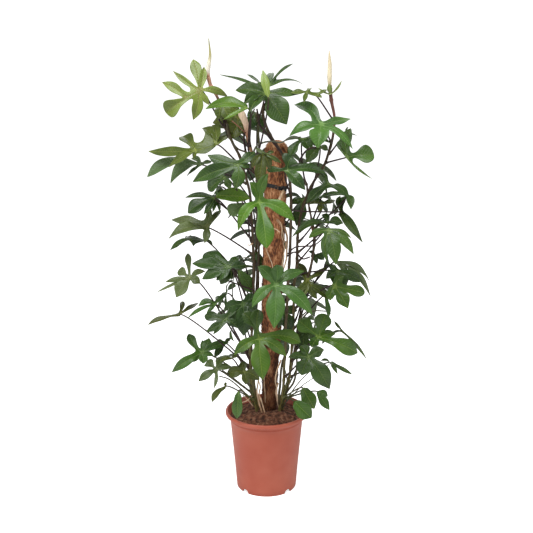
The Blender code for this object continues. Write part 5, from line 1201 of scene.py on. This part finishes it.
# Leaves of a regular form, for the sides and the back: vine, height on it, hub, tip, where
# the top looks, form, bend in degrees, tone.
ROUND_LEAVES = {
    "leaf_back_1": ("vine_left_back", 0.980, (-0.090, 0.120, 1.050), (-0.170, 0.200, 0.980),
                    (-0.2, 0.5, 1.0), "seven", 40, "mid"),
    "leaf_back_2": ("vine_back", 0.860, (0.100, 0.140, 0.950), (0.170, 0.220, 0.880),
                    (0.2, 0.5, 1.0), "five", 40, "mid"),
    "leaf_back_3": ("vine_back", 0.640, (-0.010, 0.160, 0.760), (-0.030, 0.230, 0.670),
                    (0.0, 0.8, 1.0), "seven", 40, "dark"),
    "leaf_back_4": ("vine_back", 0.420, (0.090, 0.140, 0.540), (0.150, 0.220, 0.460),
                    (0.2, 0.6, 1.0), "five", 40, "mid"),
    "rear_leaf_01": ("vine_left_back", 0.900, (-0.060, 0.060, 0.960), (-0.120, 0.110, 0.905),
                     (0.0, 0.2, 1.0), "five", 30, "dark"),
    "rear_leaf_02": ("vine_left_back", 0.740, (-0.040, 0.080, 0.830), (-0.080, 0.130, 0.775),
                     (0.0, 0.3, 1.0), "five", 40, "dark"),
    "rear_leaf_03": ("vine_back", 0.900, (0.035, 0.110, 0.990), (0.050, 0.170, 0.930),
                     (0.0, 0.6, 1.0), "five", 40, "mid"),
    "rear_leaf_04": ("vine_back", 0.760, (0.110, 0.120, 0.850), (0.180, 0.160, 0.800),
                     (0.3, 0.4, 1.0), "five", 40, "dark"),
    "rear_leaf_05": ("vine_back", 0.540, (-0.020, 0.130, 0.640), (-0.080, 0.180, 0.580),
                     (-0.2, 0.6, 1.0), "five", 40, "mid"),
    "rear_leaf_06": ("vine_left_back", 0.440, (-0.085, 0.110, 0.525), (-0.145, 0.150, 0.470),
                     (-0.3, 0.5, 1.0), "seven", 40, "mid"),
    "rear_leaf_07": ("vine_back", 0.300, (0.040, 0.140, 0.400), (0.060, 0.200, 0.330),
                     (0.1, 0.8, 1.0), "five", 40, "dark"),
    "rear_leaf_08": ("vine_left_back", 0.300, (-0.090, 0.080, 0.380), (-0.150, 0.120, 0.320),
                     (-0.3, 0.5, 1.0), "three", 40, "mid"),
    "rear_leaf_09": ("vine_right_outer", 0.720, (0.150, 0.090, 0.780), (0.220, 0.120, 0.720),
                     (0.3, 0.4, 1.0), "seven", 40, "mid"),
    "rear_leaf_10": ("vine_right_outer", 0.520, (0.140, 0.080, 0.605), (0.200, 0.110, 0.550),
                     (0.3, 0.4, 1.0), "five", 40, "dark"),
    "rear_leaf_11": ("vine_back", 0.900, (-0.020, 0.140, 0.960), (-0.050, 0.200, 0.890),
                     (-0.1, 0.8, 0.8), "seven", 40, "dark"),
    "rear_leaf_12": ("vine_left_back", 0.840, (-0.110, 0.120, 0.930), (-0.160, 0.160, 0.870),
                     (-0.4, 0.6, 0.9), "five", 40, "mid"),
    "rear_leaf_13": ("vine_left_back", 0.560, (-0.070, 0.160, 0.655), (-0.095, 0.215, 0.590),
                     (-0.3, 0.8, 0.8), "five", 40, "dark"),
    "rear_leaf_14": ("vine_back", 0.500, (0.085, 0.160, 0.590), (0.115, 0.215, 0.520),
                     (0.2, 0.8, 0.8), "seven", 40, "mid"),
    "side_leaf_1": ("vine_left_tall", 0.830, (-0.130, 0.030, 0.910), (-0.155, 0.060, 0.840),
                    (-1.0, 0.1, 0.5), "seven", 40, "mid"),
    "side_leaf_2": ("vine_left_back", 0.480, (-0.115, 0.040, 0.590), (-0.140, 0.030, 0.520),
                    (-1.0, -0.1, 0.6), "five", 40, "dark"),
    "side_leaf_3": ("vine_left_back", 0.400, (-0.080, 0.060, 0.500), (-0.110, 0.070, 0.430),
                    (-1.0, 0.1, 0.6), "seven", 40, "mid"),
    "side_leaf_4": ("vine_right_outer", 0.820, (0.170, 0.040, 0.890), (0.195, 0.060, 0.820),
                    (1.0, 0.1, 0.5), "seven", 40, "mid"),
    "side_leaf_5": ("vine_right_outer", 0.580, (0.180, 0.030, 0.680), (0.205, 0.040, 0.610),
                    (1.0, 0.1, 0.5), "five", 40, "dark"),
    "side_leaf_6": ("vine_right_outer", 0.420, (0.140, 0.040, 0.500), (0.165, 0.050, 0.430),
                    (1.0, -0.1, 0.6), "seven", 40, "mid"),
    "side_leaf_7": ("vine_right_outer", 0.310, (0.115, 0.050, 0.390), (0.140, 0.070, 0.325),
                    (1.0, 0.3, 0.6), "five", 40, "mid"),
}
# A form, on a blade of unit length: the lobes of one half by root, heading off the midrib
# in degrees, length and half width, then the half width of the end lobe.
FORMS = {
    "seven": ([(0, 142, 0.62, 0.11), (0, 95, 0.80, 0.12), (1, 55, 0.92, 0.12)], 0.20),
    "five": ([(0, 124, 0.70, 0.15), (0, 60, 0.88, 0.15)], 0.22),
    "three": ([(0, 100, 0.60, 0.16)], 0.26),
}
# Outline of a lobe: share of its length, and share there of its half width.
LOBE_SHAPES = {
    "egg": [(0.27, 0.66), (0.39, 0.90), (0.52, 1.00), (0.66, 0.91), (0.78, 0.66), (0.89, 0.33),
            (0.955, 0.13), (1.0, 0.03)],
    "spoon": [(0.26, 0.42), (0.39, 0.54), (0.53, 0.82), (0.66, 1.00), (0.78, 0.95), (0.88, 0.66),
              (0.955, 0.25), (1.0, 0.04)],
    "paddle": [(0.20, 0.22), (0.34, 0.28), (0.48, 0.62), (0.60, 0.95), (0.74, 1.05), (0.87, 0.85),
               (0.955, 0.50), (1.0, 0.10)],
}
LOBE_FOOT = [(0.06, 0.34), (0.15, 0.66)]     # foot of a leaf that is a single lobe
ACROSS = (1.0, 0.5, 0.0, -0.5, -1.0)         # columns of points, margin to margin
WEB = 0.23                       # common reach of the web between two lobes, share of the shorter
FORK = 0.40                      # where the midrib forks
ARCH = 0.26                      # rise of a lobe above the straight line to its tip
FOLD = 0.75                      # rise of the blade each side of a midrib
SICKLE = 0.14                    # sideways bend of a side lobe, back from the end lobe
ROLL = 0.42                      # margin rolled down
WAVE = 0.10                      # ruffle of the margin
BLADE_THICKNESS = 0.0006
LARGE_LOBE = 0.075               # a leaf with a lobe this long is made finer

STALK_STEPS = 18
STALK_SIDES = 9
STALK_BASE = 0.0026
STALK_TIP = 0.0020
STALK_FLARE = 0.9                # extra thickness where a stalk clasps its vine
GREENS = {
    "dark": ((0.014, 0.040, 0.005), (0.034, 0.082, 0.010), (0.110, 0.180, 0.045)),
    "mid": ((0.030, 0.080, 0.010), (0.060, 0.136, 0.018), (0.160, 0.260, 0.070)),
    "bright": ((0.034, 0.096, 0.005), (0.066, 0.150, 0.010), (0.190, 0.300, 0.060)),
    "olive": ((0.042, 0.070, 0.008), (0.078, 0.116, 0.014), (0.180, 0.230, 0.055)),
    # grey: a paler grey-green, partly the leaves' own colour and partly painted sheen
    "grey": ((0.062, 0.105, 0.030), (0.100, 0.158, 0.054), (0.180, 0.240, 0.100)),
    "young": ((0.090, 0.140, 0.024), (0.160, 0.230, 0.048), (0.170, 0.175, 0.060)),
    "bud": ((0.140, 0.205, 0.045), (0.225, 0.300, 0.080), (0.360, 0.430, 0.160)),
}
UNDERSIDES = {"dark": (0.090, 0.135, 0.070), "mid": (0.130, 0.190, 0.085),
              "bright": (0.150, 0.220, 0.080), "olive": (0.160, 0.180, 0.085),
              "grey": (0.160, 0.190, 0.100),
              "young": (0.240, 0.310, 0.120), "bud": (0.320, 0.400, 0.150)}
STALK_STOPS = [(0.0, (0.085, 0.060, 0.030)), (0.18, (0.036, 0.020, 0.017)),
               (0.80, (0.040, 0.019, 0.018)), (1.0, (0.075, 0.062, 0.025))]
GREEN_STALK_STOPS = [(0.0, (0.170, 0.180, 0.065)), (0.40, (0.105, 0.115, 0.045)),
                     (1.0, (0.075, 0.065, 0.030))]
GREEN_STALKS_BELOW = 0.330       # leaves rooted lower than this have green stalks
# painted shade for the lobes that stand up behind a hub and get less light: how much darker their colour is
# painted, by tone
PAINTED_UPPER_SHADE = {"dark": 0.5, "mid": 0.8, "bright": 0.95, "olive": 0.9}
SOFT_TONES = ("young", "bud")    # tones of blades whose veins hardly show yet


def blade_top(tone):
    """Glossy green with a pale pressed midrib, slanting side veins and cloudy panels."""
    deep, green, pale = GREENS[tone]
    soft = tone in SOFT_TONES
    finish, tree, shader = new_finish("leaf_" + tone, 0.34)
    vein = kept_value(tree, "vein").outputs["Vector"]
    along, across, margin = add_node(tree, "SeparateXYZ", {"Vector": vein}).outputs
    midrib = calculate(tree, "SUBTRACT", 1.0, spread(tree, across, 0.0003, 0.0013))
    slant = calculate(tree, "SUBTRACT", along, calculate(tree, "MULTIPLY", across, 0.75))
    waves = calculate(tree, "SINE", calculate(tree, "MULTIPLY", slant, 750.0))
    inside = calculate(tree, "SUBTRACT", 1.0, margin)
    side = calculate(tree, "MULTIPLY", spread(tree, waves, 0.80, 1.0), inside)
    colour = steps_of_colour(tree, grain(tree, 18.0, 2.0), [(0.30, deep), (0.66, green)])
    for mask, share in ((side, 0.12 if soft else 0.30), (midrib, 0.75)):
        much = calculate(tree, "MULTIPLY", mask, share)
        mix = add_node(tree, "Mix", {"Factor": much, "A": colour, "B": (*pale, 1.0)},
                       data_type="RGBA")
        colour = mix.outputs["Result"]
    # Each leaf's random tint, darkened by painted shade on the lobes that rise above its hub.
    tint_and_painted_shade = kept_value(tree, "tint_and_painted_shade").outputs["Vector"]
    tinted_with_painted_shade = add_node(tree, "VectorMath", {0: colour, 1: tint_and_painted_shade}, operation="MULTIPLY")
    panels = calculate(tree, "MULTIPLY", grain(tree, 90.0, 2.0), 0.6)
    pressed = calculate(tree, "ADD", calculate(tree, "MULTIPLY", side, 0.6),
                        calculate(tree, "MULTIPLY", midrib, 1.2))
    quilted = calculate(tree, "SUBTRACT", panels, pressed)
    coat(tree, shader, tinted_with_painted_shade.outputs["Vector"], quilted, 0.0006 if soft else 0.0013, 0.8)
    shader.inputs["Specular IOR Level"].default_value = 0.50
    return finish


def blade_under(tone):
    finish, tree, shader = new_finish("leaf_under_" + tone, 0.6)
    pale = UNDERSIDES[tone]
    dull = tuple(part * 0.78 for part in pale)
    colour = steps_of_colour(tree, grain(tree, 60.0, 4.0), [(0.35, dull), (0.65, pale)])
    coat(tree, shader, colour, grain(tree, 200.0, 3.0), 0.0006, 0.5)
    return finish


class Lobe:
    """A lobe as drawn: its midrib runs from root to tip over an arch."""

    def __init__(self, shape, root, tip, half_width, arch, up, mood, sickle=0.0):
        self.shape, self.root, self.tip, self.half_width = shape, root, tip, half_width
        self.length = (tip - root).length
        self.heading = (tip - root).normalized()
        level = self.heading - up * self.heading.dot(up)
        self.level = level.normalized() if level.length > 0.05 else self.heading
        sweep = self.level.cross(up) * (sickle + mood.uniform(-0.05, 0.05))
        self.crown = (root + tip) / 2 + (up * arch + sweep) * self.length
        self.fold = FOLD * mood.uniform(0.5, 1.4)
        self.phase = mood.uniform(0, 2 * math.pi)
        self.roll = mood.uniform(-0.25, 0.25)

    def place(self, t):
        return self.root * (1 - t) ** 2 + self.crown * 2 * t * (1 - t) + self.tip * t * t

    def tangent(self, t):
        return ((self.crown - self.root) * (1 - t) + (self.tip - self.crown) * t).normalized()


class Blade:
    """A lobed blade in the making. Each lobe is extruded from the edges of the web that meet
    at its root. One layer keeps where a point lies along and across a lobe, one its tint and painted shade."""

    def __init__(self, up, web):
        self.up = up
        self.web = web
        self.build = bmesh.new()
        self.vein = self.build.verts.layers.float_vector.new("vein")
        self.tint_and_painted_shade = self.build.verts.layers.float_vector.new("tint_and_painted_shade")

    def point(self, place, along=0.0, across=0.0, share=0.0):
        corner = self.build.verts.new(place)
        corner[self.vein] = Vector((along, across, share))
        return corner

    def spoke(self, root, notch):
        """Split the edge from a root to a notch of the web, and return its middle."""
        middle = self.point((root.co + notch.co) / 2, notch[self.vein].x / 2,
                            notch[self.vein].y / 2, 0.5)
        self.build.edges.new((root, middle))
        self.build.edges.new((middle, notch))
        return middle

    def grow(self, lobe, row, stations):
        """Extrude a row of five points, left to right margin, along a lobe to its tip."""
        edges = [self.build.edges.get(pair) for pair in zip(row, row[1:])]
        bay = max((end.co - lobe.root).dot(lobe.heading) for end in (row[0], row[-1]))
        for t, share in stations:
            if t < bay / lobe.length + 0.04:
                continue
            fresh, edges = extrude_edges(self.build, edges)
            row = [min(fresh, key=lambda new: (new.co - old.co).length) for old in row]
            tangent = lobe.tangent(t)
            side = tangent.cross(self.up)
            side = side.normalized() if side.length > 0.1 else lobe.level.cross(self.up)
            side = (side + side.cross(tangent) * lobe.roll * t).normalized()
            above = side.cross(tangent)
            width = lobe.half_width * share
            for corner, across in zip(row, ACROSS):
                reach = abs(across)
                wave = WAVE * reach * math.sin(lobe.phase + across * 1.3 + t * 11)
                lift = width * (lobe.fold * reach - ROLL * reach ** 2 + wave)
                corner.co = lobe.place(t) + side * across * width + above * lift
                corner[self.vein] = Vector((t * lobe.length, reach * width, reach))
        bmesh.ops.pointmerge(self.build, verts=row, merge_co=row[2].co)


def notch_between(blade, first, second, root):
    """A point of the web in the bay between two lobes that leave the same root."""
    way = (first.level + second.level)
    open_angle = first.level.angle(second.level)
    share = max(0.06, blade.web * math.cos(open_angle / 2))
    reach = share * min(first.length, second.length)
    way = way.normalized() if way.length > 0.05 else first.level.cross(blade.up)
    lift = 0.0
    for lobe in (first, second):
        t = min(0.5, reach / lobe.length)
        lift += (lobe.place(t) - root).dot(blade.up) / 2
    spot = root + way * reach + blade.up * lift
    return blade.point(spot, reach, reach * math.sin(open_angle / 2), 1.0)


def build_blade(hub, up, rows, web, mood):
    """Lay out a leaf from its lobes: the web round the hub first, then lobe by lobe."""
    blade = Blade(up, web)
    shape, _, tip, half_width, arch, _ = rows[0]
    main = Lobe(shape, hub, tip, half_width, arch, up, mood)
    if len(rows) == 1:
        side = main.tangent(0.0).cross(up).normalized() * half_width * 0.12
        row = [blade.point(hub + side * across, 0, 0, abs(across)) for across in ACROSS]
        for pair in zip(row, row[1:]):
            blade.build.edges.new(pair)
        blade.grow(main, row, LOBE_FOOT + LOBE_SHAPES[shape])
        return blade
    forked = any(row[1] for row in rows)
    fork = main.place(FORK) if forked else hub
    hub_point = blade.point(hub)
    fork_point = blade.point(fork, along=FORK * main.length) if forked else hub_point
    end = Lobe(shape, fork, tip, half_width, 0.6 * arch if forked else arch, up, mood)
    sides = {1: [], -1: []}
    for shape, root, tip, half_width, arch, bend in rows[1:]:
        base = fork if root else hub
        half = 1 if (tip - base).dot(main.level.cross(up)) > 0 else -1
        lobe = Lobe(shape, base, tip, half_width, arch, up, mood, half * bend)
        sides[half].append((root, -lobe.level.angle(main.level), lobe))
    back = blade.point(hub - main.level * 0.05 * main.length, 0.0, 0.0, 1.0)
    spokes = {}
    closing = {}
    for half, side in sides.items():
        side.sort(key=lambda entry: entry[:2])
        notch = back
        rooted_at_hub = True
        for index, (root, _, lobe) in enumerate(side + [(int(forked), 0.0, end)]):
            root_point = fork_point if root else hub_point
            if root and rooted_at_hub:
                rooted_at_hub = False
                span = fork - hub
                outward = main.level.cross(up) * half
                wide = 1.8 * web * span.length
                spot = hub + span * 0.62 + outward * wide
                fresh = blade.point(spot, span.length * 0.5, wide, 1.0)
                if index:
                    close_lobe(blade, side[index - 1][2], hub_point, half, notch, fresh, spokes)
                low = spokes.get((hub_point, fresh)) or blade.spoke(hub_point, fresh)
                high = blade.spoke(fork_point, fresh)
                spokes[(hub_point, fresh)], spokes[(fork_point, fresh)] = low, high
                blade.build.faces.new((hub_point, fork_point, high, fresh, low))
                notch = fresh
            elif index:
                fresh = notch_between(blade, side[index - 1][2], lobe, root_point.co)
                close_lobe(blade, side[index - 1][2], root_point, half, notch, fresh, spokes)
                notch = fresh
            elif not side:
                outward = main.level.cross(up) * half
                spot = root_point.co + (outward * 0.10 + main.level * 0.02) * main.length
                notch = blade.point(spot, 0.0, 0.1 * main.length, 1.0)
        closing[half] = notch
    root_point = fork_point if forked else hub_point
    for notch in closing.values():
        if (root_point, notch) not in spokes:
            spokes[(root_point, notch)] = blade.spoke(root_point, notch)
    row = [closing[1], spokes[(root_point, closing[1])], root_point,
           spokes[(root_point, closing[-1])], closing[-1]]
    blade.grow(end, row, LOBE_SHAPES[end.shape])
    return blade


def close_lobe(blade, lobe, root_point, half, before, after, spokes):
    """Grow a side lobe between the notch behind it and the notch in front of it."""
    for notch in (before, after):
        if (root_point, notch) not in spokes:
            spokes[(root_point, notch)] = blade.spoke(root_point, notch)
    row = [before, spokes[(root_point, before)], root_point, spokes[(root_point, after)], after]
    blade.grow(lobe, row if half > 0 else row[::-1], LOBE_SHAPES[lobe.shape])


def form_lobes(form, hub, tip, facing, bend, chance):
    """The lobes of a regular form, laid in the leaf's plane and bent down all round."""
    chord = tip - hub
    forward = chord.normalized()
    up = (facing - forward * facing.dot(forward)).normalized()
    right = forward.cross(up)
    sides, end_width = FORMS[form]
    droop = math.tan(math.radians(bend) / 2)
    rows = [("egg", 0, tip, end_width * chord.length, ARCH, 0.0)]
    for half in (1, -1):
        for root, angle, length, half_width in sides:
            turn = math.radians(angle + chance.uniform(-8, 8))
            reach = length * chord.length * chance.uniform(0.88, 1.1)
            way = forward * math.cos(turn) + right * half * math.sin(turn) - up * droop * 0.5
            shape = chance.choice(("egg", "spoon"))
            wide = half_width * chord.length
            rows.append((shape, root, hub + way * reach, wide, ARCH, SICKLE))
    return up, rows


def stalk_route(vine, height, hub, along, up):
    """A leafstalk: out of the vine, up, and over into the underside of the blade."""
    centre, upward, radius = vine_at(vine, height)
    outward = Vector((hub.x - centre.x, hub.y - centre.y, 0.0))
    outward = (outward - upward * outward.dot(upward)).normalized()
    leaving = (outward + upward * 0.8).normalized()
    start = centre + outward * radius * 0.5
    arriving = (along * 0.8 + up * 0.5).normalized()
    end = hub - up * BLADE_THICKNESS
    span = (end - start).length
    first = start + leaving * span * 0.18
    second = end - arriving * span * 0.14
    route = []
    for step in range(STALK_STEPS + 1):
        t = step / STALK_STEPS
        route.append(start * (1 - t) ** 3 + first * 3 * t * (1 - t) ** 2
                     + second * 3 * t ** 2 * (1 - t) + end * t ** 3)
    return route


def dress_leaf(name, vine, height, hub, up, tone, web, rows, mood, finishes):
    """Make one blade and its stalk, and tie both to the node that they stand for."""
    main = (rows[0][2] - hub).normalized()
    longest = max((row[2] - hub).length for row in rows)
    blade = build_blade(hub, up, rows, web, mood)
    shade = mood.uniform(0.84, 1.30)
    tint_and_painted_shade = Vector((shade * mood.uniform(0.92, 1.20), shade, shade * mood.uniform(0.75, 1.0)))
    # Each point takes the leaf's random tint, darkened by painted shade the higher it rises above the hub,
    # up to half the leaf's reach.
    for point in blade.build.verts:
        raised = max(0.0, min(0.5, (point.co.z - hub.z) / longest))
        point[blade.tint_and_painted_shade] = tint_and_painted_shade * (1 - PAINTED_UPPER_SHADE.get(tone, 0.0) * raised)
        point.co += up * noise.noise(point.co * 30.0) * 0.0015
    faces = blade.build.faces
    bmesh.ops.recalc_face_normals(blade.build, faces=faces)
    if sum(face.normal.dot(up) * face.calc_area() for face in faces) < 0:
        bmesh.ops.reverse_faces(blade.build, faces=faces)
    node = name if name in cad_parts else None
    piece = place(name.replace("leaf", "blade"), blade.build, finishes[tone])
    smooth = piece.modifiers.new("Subdivision", "SUBSURF")
    smooth.levels = smooth.render_levels = 2 if longest > LARGE_LOBE else 1
    wall = piece.modifiers.new("Solidify", "SOLIDIFY")
    wall.thickness = BLADE_THICKNESS
    wall.offset = -1.0
    wall.material_offset = 1
    grow_from(piece, node)

    route = stalk_route(vine, height, hub, main, up)
    radii = taper(STALK_BASE, STALK_TIP, len(route))
    for index in range(4):
        radii[index] *= 1.0 + STALK_FLARE * (1 - index / 4)
    stalk = stem_build([(route, radii)], STALK_SIDES)[0]
    skin = finishes["green stalk" if height < GREEN_STALKS_BELOW else "stalk"]
    add_stem(name.replace("leaf", "stalk"), stalk, skin, node)


def build_leaves():
    finishes = {tone: [blade_top(tone), blade_under(tone)] for tone in GREENS}
    finishes["stalk"] = stem_finish("leafstalk", STALK_STOPS, 0.38)
    finishes["green stalk"] = stem_finish("leafstalk_green", GREEN_STALK_STOPS, 0.42)
    for number, (name, leaf) in enumerate(LEAVES.items()):
        vine, height, hub, facing, tone, web, lobes = leaf
        hub = Vector(hub)
        mood = random.Random(1000 + number)
        rows = []
        for shape, root, tip, half_width, *curve in lobes:
            arch = curve[0] if curve else ARCH * mood.uniform(0.6, 1.2)
            bend = curve[1] if len(curve) > 1 else SICKLE
            rows.append((shape, root, hub + Vector(tip), half_width, arch, bend))
        dress_leaf(name, vine, height, hub, Vector(facing).normalized(), tone, web, rows, mood,
                   finishes)
    for number, (name, leaf) in enumerate(ROUND_LEAVES.items()):
        vine, height, hub, tip, facing, form, bend, tone = leaf
        hub, mood = Vector(hub), random.Random(2000 + number)
        up, rows = form_lobes(form, hub, Vector(tip), Vector(facing), bend, mood)
        dress_leaf(name, vine, height, hub, up, tone, WEB, rows, mood, finishes)


build_leaves()


# ---------------------------------------------------------------- studio
# A pale floor that keeps the plant's soft shadow, white all round, and four large soft
# lamps: one overhead, one to each side, and one behind.
FLOOR_RADIUS = 40.0
SKY_STRENGTH = 0.46              # of the white all round, on matt surfaces
CAMERA_DISTANCE = 3.0
CAMERA_HEIGHT = 1.55
CAMERA_PITCH = 16.1
CAMERA_LENS = 73.6


def studio_floor():
    finish = bpy.data.materials.new("studio_floor")
    finish.use_nodes = True
    tree = finish.node_tree
    tree.nodes.clear()
    matt = add_node(tree, "BsdfDiffuse", {"Color": (0.80, 0.80, 0.80, 1.0)})
    seen = add_node(tree, "LightPath", {}).outputs["Is Camera Ray"]
    lift = calculate(tree, "MULTIPLY", seen, 0.80)
    glow = add_node(tree, "Emission", {"Strength": lift})
    both = add_node(tree, "AddShader", {0: matt.outputs["BSDF"], 1: glow.outputs["Emission"]})
    add_node(tree, "OutputMaterial", {"Surface": both.outputs["Shader"]})
    return finish


def build_studio():
    build = bmesh.new()
    bmesh.ops.create_circle(build, cap_ends=True, radius=FLOOR_RADIUS, segments=96)
    floor = place("studio_floor", build, [studio_floor()], smooth=False)

    world = bpy.data.worlds.new("studio")
    bpy.context.scene.world = world
    world.use_nodes = True
    tree = world.node_tree
    back = tree.nodes["Background"]
    back.inputs["Color"].default_value = (1.0, 1.0, 1.0, 1.0)
    ray = add_node(tree, "LightPath", {})
    strength = SKY_STRENGTH
    for kind, level in (("Is Glossy Ray", 0.26), ("Is Camera Ray", 1.0),
                        ("Is Transmission Ray", 1.0)):
        strength = spread(tree, ray.outputs[kind], 0.0, 1.0, strength, level)
    tree.links.new(strength, back.inputs["Strength"])

    middle = POT_AXIS + Vector((0.0, 0.0, 0.75))
    for name, spot, size, power in (("lamp_above", (-0.4, -1.0, 3.2), 2.0, 72.0),
                                    ("lamp_left", (-2.6, -1.6, 1.8), 1.6, 22.0),
                                    ("lamp_right", (2.6, -1.2, 1.6), 1.6, 12.0),
                                    ("lamp_behind", (0.3, 2.8, 2.0), 2.2, 22.0)):
        lamp = bpy.data.lights.new(name, "AREA")
        lamp.size = size
        lamp.energy = power
        light = bpy.data.objects.new(name, lamp)
        light.location = POT_AXIS + Vector(spot)
        light.rotation_euler = (middle - light.location).to_track_quat("-Z", "Y").to_euler()
        bpy.context.scene.collection.objects.link(light)

    lens = bpy.data.cameras.new("camera")
    lens.lens = CAMERA_LENS
    camera = bpy.data.objects.new("camera", lens)
    camera.location = POT_AXIS + Vector((0.0, -CAMERA_DISTANCE, CAMERA_HEIGHT))
    camera.rotation_euler = (math.radians(90.0 - CAMERA_PITCH), 0.0, 0.0)
    bpy.context.scene.collection.objects.link(camera)
    bpy.context.scene.camera = camera
    bpy.context.scene.view_settings.view_transform = "Standard"


build_studio()
